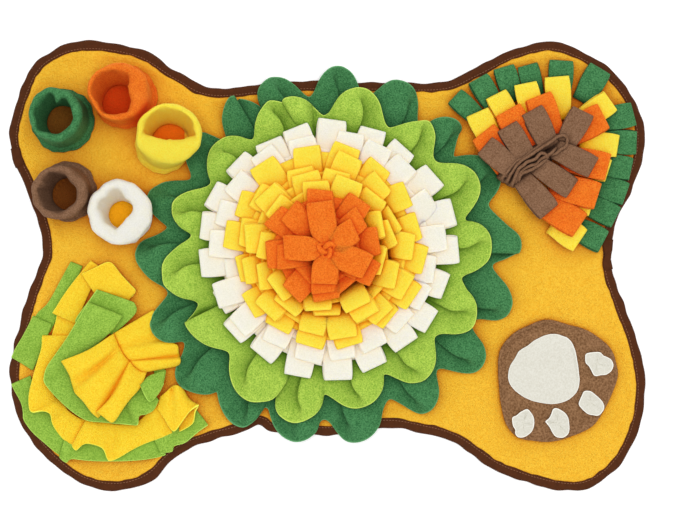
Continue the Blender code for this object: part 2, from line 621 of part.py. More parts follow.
PATCH_OUTLINE = (
    (241, -61), (266, -67), (288, -75), (304, -87), (313, -103), (315.5, -117), (312, -134), (304, -151),
    (296, -166), (283, -178), (266, -185), (244, -190), (222, -188.5), (199, -180), (191.5, -166),
    (188, -147), (187, -125), (188.5, -104), (196, -88), (209, -75.5), (224.5, -66),
)
PATCH_CENTRE = (252.0, -127.0)
PATCH_CROWN = ((0.0, 9.6), (0.45, 9.2), (0.75, 8.2), (0.93, 6.4), (1.0, 4.6))
PAD_OUTLINE = (
    (247, -74.5), (258.5, -75.5), (266, -83), (270.5, -94), (274, -108.5), (277, -125), (275, -137),
    (266, -146), (250, -151.5), (230, -149), (214.5, -142.5), (201.5, -131.5), (198, -123), (200.5, -110),
    (208, -95.5), (220, -84.5), (233.5, -76.5),
)
PAD_CENTRE = (240.0, -114.0)
TOES = {
    "paw_toe_1": ((297, -107.5), ((282.5, -101), (286, -95.5), (297, -94.5), (309, -101.5), (312, -109),
                                  (308, -116), (294, -120.5), (289, -113))),
    "paw_toe_2": ((290, -150), ((280.5, -137), (288, -137), (299, -147), (303, -154), (298, -161),
                                (290, -163), (277, -155.5), (275, -149))),
    "paw_toe_3": ((253.5, -173), ((240, -170), (247.5, -157), (255, -157), (263, -163.5), (265, -174.5),
                                  (262, -183), (254, -186.5), (245, -182))),
    "paw_toe_4": ((215.5, -173), ((204, -167), (219, -157), (226.5, -167), (225.5, -179), (217, -185),
                                  (209, -182), (205, -177))),
}
PRINT_LIFT = 0.7            # keeps the flat-sided print clear of the patch under it
PAD_THICKNESS = 2.2
TOE_THICKNESS = 4.5


def patch_height(x, y):
    """Height of the patch's top, from how far out the point lies between its centre and its edge."""
    offset = Vector((x - PATCH_CENTRE[0], y - PATCH_CENTRE[1]))
    count = len(PATCH_OUTLINE)
    for i in range(count):
        a = Vector(PATCH_OUTLINE[i]) - Vector(PATCH_CENTRE)
        b = Vector(PATCH_OUTLINE[(i + 1) % count]) - Vector(PATCH_CENTRE)
        area = a.x * b.y - a.y * b.x
        along_a = (offset.x * b.y - offset.y * b.x) / area
        along_b = (a.x * offset.y - a.y * offset.x) / area
        if along_a >= -1e-6 and along_b >= -1e-6:
            return profile_height(PATCH_CROWN, along_a + along_b)
    return PATCH_CROWN[0][1]


def scaled(outline, centre, share):
    return [(mix(centre[0], x, share), mix(centre[1], y, share)) for x, y in outline]


def close_fan(mesh_builder, ring, centre):
    middle = mesh_builder.verts.new(centre)
    for a, b in zip(ring, ring[1:] + ring[:1]):
        mesh_builder.faces.new((a, b, middle))


def make_patch():
    patch = bmesh.new()
    rows = [[(x, y, DECK) for x, y in PATCH_OUTLINE]]
    for share, height in reversed(PATCH_CROWN[1:]):
        rows.append([(x, y, height) for x, y in scaled(PATCH_OUTLINE, PATCH_CENTRE, share)])
    rings = add_rows(patch, rows)
    join_rows(patch, rings, closed=True)
    patch.faces.new(rings[0])
    close_fan(patch, rings[-1], (*PATCH_CENTRE, PATCH_CROWN[0][1]))
    add_piece("paw_patch", patch, TAUPE)


def make_print(name, outline, centre, layers):
    """A piece lying on the patch: layers are (share of the outline, thickness there), edge first."""
    piece = bmesh.new()
    under = []
    over = []
    for share, thickness in layers:
        ring = scaled(outline, centre, share)
        under.append([(x, y, patch_height(x, y) + PRINT_LIFT) for x, y in ring])
        over.append([(x, y, patch_height(x, y) + PRINT_LIFT + thickness) for x, y in ring])
    rings = add_rows(piece, under[::-1] + over)
    join_rows(piece, rings, closed=True)
    base = patch_height(*centre) + PRINT_LIFT
    close_fan(piece, rings[0], (*centre, base))
    close_fan(piece, rings[-1], (*centre, base + layers[-1][1]))
    add_piece(name, piece, WHITE)


# ---------------------------------------------------------------- assembly

clear_scene()
MAT_PARTS = new_collection("snuffle_mat")

edge_stations, edge_normals = outline_stations()
make_mat(edge_stations, edge_normals)
make_binding(edge_stations, edge_normals)

make_petals("petals_dark", DARK_PETALS, 118, DARK_HEIGHTS, DARK_PLEAT, DARK_GREEN)
make_petals("petals_light", LIGHT_PETALS, 107, LIGHT_HEIGHTS, LIGHT_PLEAT, LIGHT_GREEN)
for ring_name, ring in FLOWER_RINGS.items():
    make_flower_ring(ring_name, *ring)
make_knot()

for cup_name, cup_sizes in CUPS.items():
    make_cup(cup_name, *cup_sizes)

for strip_name, strip_sizes in FAN_STRIPS.items():
    make_fan_strip(strip_name, *strip_sizes)
make_fan_ridge()

for leaf_name, leaf_sizes in LEAVES.items():
    make_leaf(leaf_name, *leaf_sizes)
make_top_leaf()

make_patch()
make_print("paw_pad", PAD_OUTLINE, PAD_CENTRE, ((1.0, PAD_THICKNESS * 0.6), (0.93, PAD_THICKNESS),
                                                (0.5, PAD_THICKNESS)))
for toe_name, (toe_centre, toe_outline) in TOES.items():
    make_print(toe_name, toe_outline, toe_centre, ((1.0, TOE_THICKNESS * 0.4), (0.8, TOE_THICKNESS * 0.9)))
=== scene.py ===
"""The snuffle mat, dressed: brushed fleece, bound edge, stitching and the folds of each sewn piece."""
import math
import random

import bmesh
import bpy
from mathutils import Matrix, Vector, noise


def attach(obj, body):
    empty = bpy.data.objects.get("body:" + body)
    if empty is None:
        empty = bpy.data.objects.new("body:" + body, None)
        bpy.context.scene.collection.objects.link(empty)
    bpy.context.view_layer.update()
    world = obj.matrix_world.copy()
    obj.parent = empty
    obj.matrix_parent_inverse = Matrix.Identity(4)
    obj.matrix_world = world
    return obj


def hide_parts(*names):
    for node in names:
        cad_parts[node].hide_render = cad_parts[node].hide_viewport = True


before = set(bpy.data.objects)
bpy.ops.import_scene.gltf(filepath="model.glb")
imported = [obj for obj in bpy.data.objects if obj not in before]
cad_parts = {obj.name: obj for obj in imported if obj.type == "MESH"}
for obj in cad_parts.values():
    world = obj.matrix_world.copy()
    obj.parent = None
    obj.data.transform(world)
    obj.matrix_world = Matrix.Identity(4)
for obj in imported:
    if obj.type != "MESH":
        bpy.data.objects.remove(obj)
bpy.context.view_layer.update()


# ================================================================ floor, light and camera
# A white table under a bright, even room, with one large soft lamp high up, nearly overhead.
# The camera looks straight down from 1.7 m.
MM = 0.001
CAMERA_PLACE = (24.8, 3.9, 1700.0)      # mm, over the middle of the view
VIEW_WIDTH = 771.7                      # mm of table across the view
SENSOR = 36.0
TABLE_SIZE = 40.0                       # m
LAMP_PLACE = (0.2, 0.2, 4.0)            # m
LAMP_SIZE = 2.6                         # m
LAMP_POWER = 82.0                       # W
ROOM_LIGHT = 0.76
PURE_WHITE = (1.0, 1.0, 1.0, 1.0)


def linear(hex_colour):
    """The scene's linear colour for an sRGB hex value."""
    channels = (int(hex_colour[i:i + 2], 16) / 255 for i in (1, 3, 5))
    return (*(c / 12.92 if c <= 0.04045 else ((c + 0.055) / 1.055) ** 2.4 for c in channels), 1.0)


def add_node(tree, kind, inputs=(), **settings):
    """Add a node; inputs maps a socket's name or number to a value or to the socket that feeds it.

    A mix node's colours are its sockets 6 and 7, and its mixed colour is output 2.
    """
    made = tree.nodes.new(kind)
    for key, value in settings.items():
        setattr(made, key, value)
    for socket, value in dict(inputs).items():
        if isinstance(value, bpy.types.NodeSocket):
            tree.links.new(value, made.inputs[socket])
        else:
            made.inputs[socket].default_value = value
    return made


def new_material(name):
    """A new material, with its node tree and its shader."""
    material = bpy.data.materials.new(name)
    material.use_nodes = True
    return material, material.node_tree, material.node_tree.nodes["Principled BSDF"]


def set_inputs(node, values):
    for socket, value in values.items():
        node.inputs[socket].default_value = value


camera = bpy.data.objects.new("camera", bpy.data.cameras.new("camera"))
camera.location = Vector(CAMERA_PLACE) * MM
camera.data.sensor_width = SENSOR
camera.data.lens = SENSOR * CAMERA_PLACE[2] / VIEW_WIDTH
camera.data.clip_end = 20.0
bpy.context.scene.collection.objects.link(camera)
bpy.context.scene.camera = camera
bpy.context.scene.view_settings.view_transform = "Standard"

lamp = bpy.data.objects.new("lamp", bpy.data.lights.new("lamp", "AREA"))
lamp.data.size = LAMP_SIZE
lamp.data.energy = LAMP_POWER
lamp.location = LAMP_PLACE
lamp.rotation_euler = Vector(LAMP_PLACE).to_track_quat("Z", "Y").to_euler()
bpy.context.scene.collection.objects.link(lamp)

room = bpy.data.worlds.new("room")
room.use_nodes = True
set_inputs(room.node_tree.nodes["Background"], {"Color": PURE_WHITE, "Strength": ROOM_LIGHT})
bpy.context.scene.world = room

table_mesh = bmesh.new()
bmesh.ops.create_grid(table_mesh, x_segments=1, y_segments=1, size=TABLE_SIZE / 2)
table = bpy.data.objects.new("table", bpy.data.meshes.new("table"))
table_mesh.to_mesh(table.data)
table_mesh.free()
# a matt white painted board, which glows a little so that only soft shadows show on it
painted_board, _, board_shader = new_material("painted_board")
set_inputs(board_shader, {"Base Color": PURE_WHITE, "Roughness": 0.8, "Emission Color": PURE_WHITE,
                          "Emission Strength": 0.12})
table.data.materials.append(painted_board)
bpy.context.scene.collection.objects.link(table)


# ================================================================ base mat
# The bone: one layer of golden brushed fleece on a thin backing, cut to the outline and caught in the
# binding. It lies flat but for soft swells that run in from the edge, where the binding draws it up.
GOLD = "#f8c63a"
GOLD_SHADE = "#efb026"
# painted shade: the gold is deepened towards this colour where cups, petals and folds stand close by
GOLD_PAINTED_SHADE = "#c85200"
MAT_THICKNESS = 3.0                     # mm
EDGE_LIFT = 1.3                         # the edge lies on the binding's lower leg
EDGE_STATIONS = 420
# the bone's outer edge, counter-clockwise from the notch in its right end: x, y
OUTLINE = (
    (313, 2), (317, 46), (338, 89), (350, 139), (338, 183), (314, 214), (284, 235), (247, 247),
    (205, 239), (160, 217), (125, 203), (60, 203), (-40, 203), (-123, 196), (-161, 212), (-204, 238),
    (-258, 247.5), (-298, 240), (-329, 214), (-350, 150), (-344, 113), (-331, 83), (-313, 22),
    (-328, -26), (-347, -95), (-349, -130), (-338, -172), (-312, -209), (-275, -238), (-234, -247.5),
    (-195, -237), (-162, -207), (-126, -192), (-93, -183), (-75, -174), (-60, -183), (9, -186),
    (63, -178), (104, -184), (140, -195), (191, -228), (262, -247.5), (304, -236), (336, -197),
    (350, -140), (342, -84), (325, -38),
)
# rings of the cloth: distance in from the outline, and how much of the edge's lift is left there
EDGE_RINGS = ((2.6, 1.0), (7.0, 1.0), (11.0, 1.15), (13.5, 1.55), (17.0, 1.0), (21.0, 0.35), (26.0, 0.0))
INNER_RINGS = 56
# long soft swells: from x, y to x, y, width, height
SWELLS = (
    (-258, 240, -255, 208, 7, 2.2), (-190, 232, -205, 222, 5, 1.4), (-238, 120, -232, 100, 12, 1.0),
    (-318, 30, -285, 36, 9, 1.6), (-316, 6, -285, 14, 7, 1.1), (-200, 100, -225, 125, 16, 1.0),
    (322, -14, 214, -52, 13, 2.4), (325, -42, 250, -70, 9, 1.7), (318, 14, 240, -14, 10, 1.5),
    (338, -185, 318, -160, 8, 1.3), (255, -242, 250, -205, 10, 1.5), (190, -222, 196, -196, 8, 1.2),
    (150, -196, 165, -165, 9, 1.3), (332, -95, 318, -92, 6, 1.0), (180, 215, 172, 190, 7, 1.2),
    (345, 150, 330, 148, 6, 0.9), (-250, -240, -240, -222, 8, 1.0), (-140, 196, -150, 180, 8, 1.2),
)
# how a swell changes from its start at the edge to its end: strength, what it loses, what it widens by
SWELL_STRENGTH, SWELL_FADE, SWELL_WIDENING = 1.5, 0.75, 0.8
PUCKER_PITCH = 17.0                     # the binding's stitching gathers the cloth about this often
PUCKER_HEIGHT = 1.1
PUCKER_START, PUCKER_GROWTH = 11.5, 6.0  # mm in from the edge where it starts, and until it is full
WAVE_HEIGHT, WAVE_PITCH = 0.9, 34.0
CRINKLE_HEIGHT, CRINKLE_PITCH = 0.3, 9.0
TABLE_SOFTNESS = 0.5                    # mm2, how gently the table stops a dip


def mix(a, b, share):
    return a + (b - a) * share


def ease(share):
    """A smooth step from 0 to 1."""
    share = min(1.0, max(0.0, share))
    return share * share * (3 - 2 * share)


def smooth_stretch(before, start, end, after, steps):
    """Points from start towards end on a smooth curve that also passes the two beside them."""
    stretch = []
    for step in range(steps):
        t = step / steps
        stretch.append(0.5 * (2 * start + (end - before) * t
                              + (2 * before - 5 * start + 4 * end - after) * t ** 2
                              + (3 * start - before - 3 * end + after) * t ** 3))
    return stretch


def smooth_loop(points, count, steps=12):
    """Even stations along a smooth closed curve through the points."""
    curve = []
    for i in range(len(points)):
        before, start, end, after = (points[(i + k) % len(points)] for k in (-1, 0, 1, 2))
        curve += smooth_stretch(before, start, end, after, steps)
    lengths = [0.0]
    for a, b in zip(curve, curve[1:] + curve[:1]):
        lengths.append(lengths[-1] + (b - a).length)
    stations = []
    index = 0
    for k in range(count):
        wanted = lengths[-1] * k / count
        while lengths[index + 1] < wanted:
            index += 1
        share = (wanted - lengths[index]) / (lengths[index + 1] - lengths[index])
        stations.append(curve[index].lerp(curve[(index + 1) % len(curve)], share))
    return stations


def inward_normals(stations):
    normals = []
    for k in range(len(stations)):
        along = (stations[(k + 1) % len(stations)] - stations[k - 1]).normalized()
        normals.append(Vector((-along.y, along.x, 0.0)))
    return normals


def ripple(point, pitch, seed=0.0):
    """Smooth noise from -1 to 1 with swellings about one pitch apart."""
    return noise.noise(Vector((point.x / pitch, point.y / pitch, point.z / pitch + seed)))


def swell(x, y):
    """Height of the long swells at a place on the mat."""
    height = 0.0
    for x0, y0, x1, y1, width, rise in SWELLS:
        along = Vector((x1 - x0, y1 - y0))
        offset = Vector((x - x0, y - y0))
        share = min(1.0, max(0.0, offset.dot(along) / along.length_squared))
        away = (offset - along * share).length / (width * (1 + share * SWELL_WIDENING))
        height += SWELL_STRENGTH * rise * (1 - share * SWELL_FADE) * math.exp(-away * away)
    return height


def add_bump(tree, shader, height, strength, distance):
    """Raise the surface by up to distance (m) where the height's socket is bright."""
    bump = add_node(tree, "ShaderNodeBump", {"Height": height, "Strength": strength, "Distance": distance})
    tree.links.new(bump.outputs["Normal"], shader.inputs["Normal"])


def fleece(name, colour, shade, tuft=1.5, nap=11.0, depth=0.6, sheen=0.12, painted_shade=None,
           reach=16.0, glow=0.0):
    """Brushed polyester fleece: a short felted pile that scatters light, so it has no gloss but a soft
    bright rim. The tufts are really about 1 mm; they are drawn at 2 mm or so, to show. The nap is the
    patches where the pile lies one way or another. A cut edge is painted paler than the face, a painted
    highlight. The hollow colour is a painted shade: where ambient occlusion finds cloth within reach mm,
    the colour is deepened towards it, standing in for light that comes by way of more of the same cloth.
    """
    material, tree, shader = new_material(name)
    place = add_node(tree, "ShaderNodeTexCoord").outputs["Object"]
    tufts = add_node(tree, "ShaderNodeTexNoise", {"Vector": place, "Scale": 1 / (tuft * MM),
                                                  "Detail": 2.0, "Roughness": 0.55})
    patches = add_node(tree, "ShaderNodeTexNoise", {"Vector": place, "Scale": 1 / (nap * MM),
                                                    "Detail": 2.0, "Distortion": 0.6})
    mostly = add_node(tree, "ShaderNodeMath", {0: patches.outputs["Fac"], 1: 0.25,
                                               2: tufts.outputs["Fac"]}, operation="MULTIPLY_ADD")
    share = add_node(tree, "ShaderNodeMapRange", {"Value": mostly.outputs[0], "From Min": 0.45,
                                                  "From Max": 0.8, "To Min": 1.0, "To Max": 0.0})
    tint = add_node(tree, "ShaderNodeMix", {0: share.outputs[0], 6: linear(colour), 7: linear(shade)},
                    data_type="RGBA")
    # painted shade: the colour is mixed towards a deeper one where ambient occlusion finds cloth close by
    if painted_shade:
        open_to_light = add_node(tree, "ShaderNodeAmbientOcclusion", {"Distance": reach * MM}, samples=4)
        buried = add_node(tree, "ShaderNodeMapRange", {"Value": open_to_light.outputs["AO"],
                                                       "From Min": 0.2, "From Max": 0.95, "To Min": 1.0,
                                                       "To Max": 0.0})
        tint = add_node(tree, "ShaderNodeMix", {0: buried.outputs[0], 6: tint.outputs[2],
                                                7: linear(painted_shade)}, data_type="RGBA")
    # painted highlight: the colour along a cut edge is raised to a paler one
    cut = add_node(tree, "ShaderNodeAttribute", attribute_name="cut_edge")
    painted_edge_highlight = tuple(min(1.0, 1.5 * channel + 0.03) for channel in linear(colour)[:3])
    edged = add_node(tree, "ShaderNodeMix", {0: cut.outputs["Fac"], 6: tint.outputs[2], 7: (*painted_edge_highlight, 1.0)},
                     data_type="RGBA")
    tree.links.new(edged.outputs[2], shader.inputs["Base Color"])
    add_bump(tree, shader, tufts.outputs["Fac"], depth, 2.4 * MM)
    set_inputs(shader, {"Roughness": 0.94, "Specular IOR Level": 0.2, "Subsurface Weight": glow,
                        "Subsurface Radius": (1.0, 0.9, 0.5), "Subsurface Scale": 6 * MM,
                        "Sheen Weight": sheen, "Sheen Roughness": 0.45, "Sheen Tint": linear(colour)})
    return material


def cloth_object(name, mesh_builder, material, thickness=0.0, smooth_levels=0):
    """Make an object of a mesh given in mm, with a live thickness and smoothing, on the one body."""
    bmesh.ops.recalc_face_normals(mesh_builder, faces=mesh_builder.faces)
    bmesh.ops.scale(mesh_builder, vec=(MM, MM, MM), verts=mesh_builder.verts)
    mesh = bpy.data.meshes.new(name)
    mesh_builder.to_mesh(mesh)
    mesh_builder.free()
    mesh.materials.append(material)
    mesh.shade_smooth()
    piece = bpy.data.objects.new(name, mesh)
    bpy.context.scene.collection.objects.link(piece)
    if thickness:
        shell = piece.modifiers.new("Thickness", "SOLIDIFY")
        shell.thickness = thickness * MM
        shell.offset = 0.0
    if smooth_levels:
        soft = piece.modifiers.new("Smooth", "SUBSURF")
        soft.levels = smooth_levels
        soft.render_levels = smooth_levels
    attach(piece, "root")
    return piece


def join_rows(mesh_builder, rows, closed=False):
    """Fill the quads between rows of vertices; closed joins each row's end to its start."""
    count = len(rows[0])
    for low, high in zip(rows, rows[1:]):
        for i in range(count if closed else count - 1):
            j = (i + 1) % count
            mesh_builder.faces.new((low[i], low[j], high[j], high[i]))


def add_rows(mesh_builder, point_rows):
    return [[mesh_builder.verts.new(point) for point in row] for row in point_rows]


edge_stations = smooth_loop([Vector((x, y, 0.0)) for x, y in OUTLINE], EDGE_STATIONS)
edge_normals = inward_normals(edge_stations)


def mat_point(x, y, lift, pucker):
    """A place on the mat: lift is the share of the edge's lift, and pucker how freely it wrinkles."""
    point = Vector((x, y, 0.0))
    height = pucker * (swell(x, y) + PUCKER_HEIGHT * ripple(point, PUCKER_PITCH * 0.5)
                       + WAVE_HEIGHT * ripple(point, WAVE_PITCH, 2.0))
    height += CRINKLE_HEIGHT * ripple(point, CRINKLE_PITCH, 5.0)
    # the table stops every dip, so what lies low lies flat and only the wrinkles rise
    rise = (height + math.sqrt(height * height + TABLE_SOFTNESS)) / 2
    return (x, y, MAT_THICKNESS / 2 + EDGE_LIFT * lift + rise)


mat_rows = []
for inset, lift in EDGE_RINGS:
    pucker = min(1.0, max(0.0, (inset - PUCKER_START) / PUCKER_GROWTH))
    mat_rows.append([mat_point(*(p + n * inset).xy, lift, pucker)
                     for p, n in zip(edge_stations, edge_normals)])
last_ring = [Vector((x, y)) for x, y, z in mat_rows[-1]]
for k in range(1, INNER_RINGS):
    share = 1 - k / INNER_RINGS
    mat_rows.append([mat_point(*(p * share), 0.0, 1.0) for p in last_ring])
mat = bmesh.new()
mat_rings = add_rows(mat, mat_rows)
join_rows(mat, mat_rings, closed=True)
mat_middle = mat.verts.new((0.0, 0.0, MAT_THICKNESS / 2))
for a, b in zip(mat_rings[-1], mat_rings[-1][1:] + mat_rings[-1][:1]):
    mat.faces.new((a, b, mat_middle))
gold_fleece = fleece("golden_fleece", GOLD, GOLD_SHADE, tuft=1.8, nap=8.0, depth=1.0,
                     painted_shade=GOLD_PAINTED_SHADE, reach=28.0)
mat_piece = cloth_object("mat", mat, gold_fleece, thickness=MAT_THICKNESS)
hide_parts("mat_base")


# ================================================================ binding
# A dark brown woven tape folded round the mat's edge and sewn through close to its inner edge. Its
# ends and a join each overlap, and the stitching puckers it a little.
TAPE_BROWN = "#592e14"
TAPE_SHADE = "#3e200f"
THREAD_BROWN = "#8a5a3a"
TAPE_TOP = 4.6                          # mm, above which the section is the tape's upper face
TAPE_PUCKER, TAPE_PUCKER_PITCH = 0.3, 6.0
# how far the tape strays from its line, and how often: at its inner edges, and elsewhere
EDGE_STRAY, EDGE_STRAY_PITCH = 2.4, 7.0
TAPE_STRAY, TAPE_STRAY_PITCH = 2.6, 15.0
STITCH_INSET = 8.6                      # the seam's distance in from the edge
STITCH_LEVEL = 5.62
STITCH_PITCH = 3.4
STITCH_LENGTH = 2.5
THREAD_RADIUS = 0.36
# overlapping ends: place of the middle, and the sleeve's length along the edge
TAPE_JOINS = (((301, 10), 30), ((-344, 117), 26))
JOIN_GROWTH = 0.9                       # the upper end lies round the lower one
# the folded tape's section, from its upper inner edge round the outside: distance in, height
TAPE_SECTION = ((11.0, 5.2), (10.4, 5.75), (8.6, 5.5), (5.5, 5.75), (2.6, 5.6), (0.8, 4.7), (0.0, 2.8),
                (0.8, 0.9), (2.4, 0.0), (11.0, 0.0), (11.0, 0.9), (2.4, 1.0), (1.6, 2.8), (2.4, 4.6),
                (10.6, 4.6))


def woven_tape(name, colour, shade):
    """Polyester twill tape: fine diagonal ribs, dull, with a slight sheen along the fold. The ribs are
    really about 0.5 mm apart; they are drawn at 1.6 mm, to show."""
    material, tree, shader = new_material(name)
    place = add_node(tree, "ShaderNodeTexCoord").outputs["Object"]
    ribs = add_node(tree, "ShaderNodeTexWave", {"Vector": place, "Scale": 0.5 / (1.6 * MM) / math.pi,
                                                "Distortion": 1.2, "Detail": 2.0},
                    bands_direction="DIAGONAL")
    wear = add_node(tree, "ShaderNodeTexNoise", {"Vector": place, "Scale": 1 / (5 * MM), "Detail": 4.0})
    tint = add_node(tree, "ShaderNodeMix", {0: wear.outputs["Fac"], 6: linear(colour), 7: linear(shade)},
                    data_type="RGBA")
    tree.links.new(tint.outputs[2], shader.inputs["Base Color"])
    add_bump(tree, shader, ribs.outputs["Fac"], 0.35, 0.3 * MM)
    set_inputs(shader, {"Roughness": 0.85, "Specular IOR Level": 0.12})
    return material


def tape_sleeve(mesh_builder, stations, normals, grow, closed):
    """Sweep the folded tape's section along the edge, grown outwards by grow mm."""
    rings = []
    for p, n in zip(stations, normals):
        ring = []
        for inward, z in TAPE_SECTION:
            pucker = 0.0
            if 3 < inward < 10 and z > TAPE_TOP:
                pucker = TAPE_PUCKER * ripple(p, TAPE_PUCKER_PITCH, inward)
            if inward > 10:
                stray = EDGE_STRAY * ripple(p, EDGE_STRAY_PITCH, 9.0)
            else:
                stray = TAPE_STRAY * ripple(p, TAPE_STRAY_PITCH, 3.0)
            height = z + pucker + (grow if z > TAPE_TOP else 0.0)
            ring.append(mesh_builder.verts.new(p + n * (inward + stray - grow) + Vector((0, 0, height))))
        rings.append(ring)
    if closed:
        join_rows(mesh_builder, rings + rings[:1], closed=True)
    else:
        join_rows(mesh_builder, rings, closed=True)
        mesh_builder.faces.new(rings[0])
        mesh_builder.faces.new(rings[-1])


def thread(name, colour):
    """Spun polyester sewing thread: a little glossier than the cloth, with its twist as fine relief."""
    material, tree, shader = new_material(name)
    place = add_node(tree, "ShaderNodeTexCoord").outputs["Object"]
    twist = add_node(tree, "ShaderNodeTexNoise", {"Vector": place, "Scale": 1 / (0.7 * MM)})
    add_bump(tree, shader, twist.outputs["Fac"], 0.5, 0.1 * MM)
    set_inputs(shader, {"Base Color": linear(colour), "Roughness": 0.6})
    return material


def stitch_tree(name):
    """Geometry Nodes: a stitch, a stretched bead, at even steps along a line and turned to lie on it."""
    tree = bpy.data.node_groups.new(name, "GeometryNodeTree")
    tree.interface.new_socket("Line", in_out="INPUT", socket_type="NodeSocketGeometry")
    for title in ("Pitch", "Length", "Radius"):
        tree.interface.new_socket(title, in_out="INPUT", socket_type="NodeSocketFloat")
    tree.interface.new_socket("Thread", in_out="INPUT", socket_type="NodeSocketMaterial")
    tree.interface.new_socket("Stitches", in_out="OUTPUT", socket_type="NodeSocketGeometry")
    given = add_node(tree, "NodeGroupInput").outputs
    line = add_node(tree, "GeometryNodeMeshToCurve", {"Mesh": given["Line"]})
    steps = add_node(tree, "GeometryNodeCurveToPoints", {"Curve": line.outputs[0],
                                                         "Length": given["Pitch"]}, mode="LENGTH")
    bead = add_node(tree, "GeometryNodeMeshUVSphere", {"Segments": 5, "Rings": 4, "Radius": 1.0})
    half = add_node(tree, "ShaderNodeMath", {0: given["Length"], 1: 0.5}, operation="MULTIPLY")
    size = add_node(tree, "ShaderNodeCombineXYZ", {"X": given["Radius"], "Y": given["Radius"],
                                                   "Z": half.outputs[0]})
    turn = add_node(tree, "FunctionNodeAlignRotationToVector", {"Vector": steps.outputs["Tangent"]},
                    axis="Z")
    laid = add_node(tree, "GeometryNodeInstanceOnPoints",
                    {"Points": steps.outputs["Points"], "Instance": bead.outputs["Mesh"],
                     "Rotation": turn.outputs[0], "Scale": size.outputs[0]})
    real = add_node(tree, "GeometryNodeRealizeInstances", {"Geometry": laid.outputs[0]})
    done = add_node(tree, "GeometryNodeSetMaterial", {"Geometry": real.outputs[0],
                                                      "Material": given["Thread"]})
    add_node(tree, "NodeGroupOutput", {"Stitches": done.outputs[0]})
    return tree


STITCHES = stitch_tree("stitches")


def sew(name, lines, pitch, length, radius, material, closed=True):
    """Lay stitches along lines of points in mm, as one plain mesh."""
    line = bmesh.new()
    for points in lines:
        verts = [line.verts.new(point) for point in points]
        for a, b in zip(verts, verts[1:] + (verts[:1] if closed else [])):
            line.edges.new((a, b))
    bmesh.ops.scale(line, vec=(MM, MM, MM), verts=line.verts)
    guide = bpy.data.objects.new(name + "_line", bpy.data.meshes.new(name + "_line"))
    line.to_mesh(guide.data)
    line.free()
    bpy.context.scene.collection.objects.link(guide)
    modifier = guide.modifiers.new("Stitches", "NODES")
    modifier.node_group = STITCHES
    values = {"Pitch": pitch * MM, "Length": length * MM, "Radius": radius * MM, "Thread": material}
    for item in STITCHES.interface.items_tree:
        if item.in_out == "INPUT" and item.name in values:
            modifier[item.identifier] = values[item.name]
    made = guide.evaluated_get(bpy.context.evaluated_depsgraph_get())
    piece = bpy.data.objects.new(name, bpy.data.meshes.new_from_object(made))
    piece.data.name = name
    bpy.data.objects.remove(guide)
    bpy.context.scene.collection.objects.link(piece)
    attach(piece, "root")
    return piece


brown_tape = woven_tape("brown_twill_tape", TAPE_BROWN, TAPE_SHADE)
brown_thread = thread("brown_thread", THREAD_BROWN)
tape = bmesh.new()
tape_sleeve(tape, edge_stations, edge_normals, 0.0, closed=True)
tape_piece = cloth_object("binding_tape", tape, brown_tape, smooth_levels=1)
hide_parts("binding")

seam_line = []
for p, n in zip(edge_stations, edge_normals):
    level = STITCH_LEVEL + TAPE_PUCKER * ripple(p, TAPE_PUCKER_PITCH, STITCH_INSET)
    seam_line.append(p + n * STITCH_INSET + Vector((0, 0, level)))
sew("binding_stitches", [seam_line], STITCH_PITCH, STITCH_LENGTH, THREAD_RADIUS, brown_thread)

for number, ((join_x, join_y), join_length) in enumerate(TAPE_JOINS, start=1):
    join_middle = Vector((join_x, join_y, 0))
    near = min(range(EDGE_STATIONS), key=lambda k: (edge_stations[k] - join_middle).length)
    pitch = (edge_stations[1] - edge_stations[0]).length
    reach = round(join_length / pitch / 2)
    chosen = [k % EDGE_STATIONS for k in range(near - reach, near + reach + 1)]
    sleeve = bmesh.new()
    tape_sleeve(sleeve, [edge_stations[k] for k in chosen], [edge_normals[k] for k in chosen],
                JOIN_GROWTH, closed=False)
    cloth_object(f"binding_join_{number}", sleeve, brown_tape)


# ================================================================ flower petals
# Two rings of fleece, each one long strip cut in scallops. A knife pleat in each petal gathers the ring:
# the counter-clockwise half laps over the other, and the fold opens out towards the edge.
DARK_GREEN = "#52935b"
DARK_GREEN_SHADE = "#2c6638"
# painted shade: the dark green is deepened towards this colour in its pleats and under the loops
DARK_GREEN_PAINTED_SHADE = "#124420"
LIGHT_GREEN = "#bddb58"
LIGHT_GREEN_SHADE = "#86b038"
# painted shade: the light green is deepened towards this colour in its pleats and under the loops
LIGHT_GREEN_PAINTED_SHADE = "#4f7a12"
FLOWER_CENTRE = Vector((0.0, 17.5, 0.0))
FLEECE_THICKNESS = 2.0
# the cloth's section across a petal, as share of its width and height: lapped over, and opened out
LAPPED = ((0.0, 0.1), (0.14, -0.15), (0.3, -0.6), (0.43, -0.95), (0.51, -1.0), (0.55, -0.7),
          (0.525, -0.1), (0.465, 0.5), (0.44, 0.85), (0.475, 1.05), (0.58, 1.05), (0.7, 0.85), (0.85, 0.45),
          (1.0, 0.1))
OPENED = ((0.0, 0.1), (0.12, -0.05), (0.24, -0.35), (0.33, -0.65), (0.4, -0.75), (0.45, -0.6),
          (0.49, -0.1), (0.53, 0.4), (0.57, 0.75), (0.62, 0.9), (0.69, 0.9), (0.78, 0.7), (0.89, 0.4),
          (1.0, 0.1))
CREASE_SHARE = 0.49
OPENING = 0.3                           # share of the petal's length over which its crease opens
PETAL_WAVE, PETAL_WAVE_PITCH = 0.8, 13.0
OUTWARD = (0.0, 0.12, 0.26, 0.38, 0.49, 0.59, 0.69, 0.78, 0.86, 0.93, 0.978, 1.0)
# the scallops are marked out on a plan, x to the right and y down, whose flower centre is here
PLAN_CENTRE = Vector((327.5, 250.1))
DARK_UNIT, LIGHT_UNIT = 1.096, 1.0903   # mm for each step of the plan
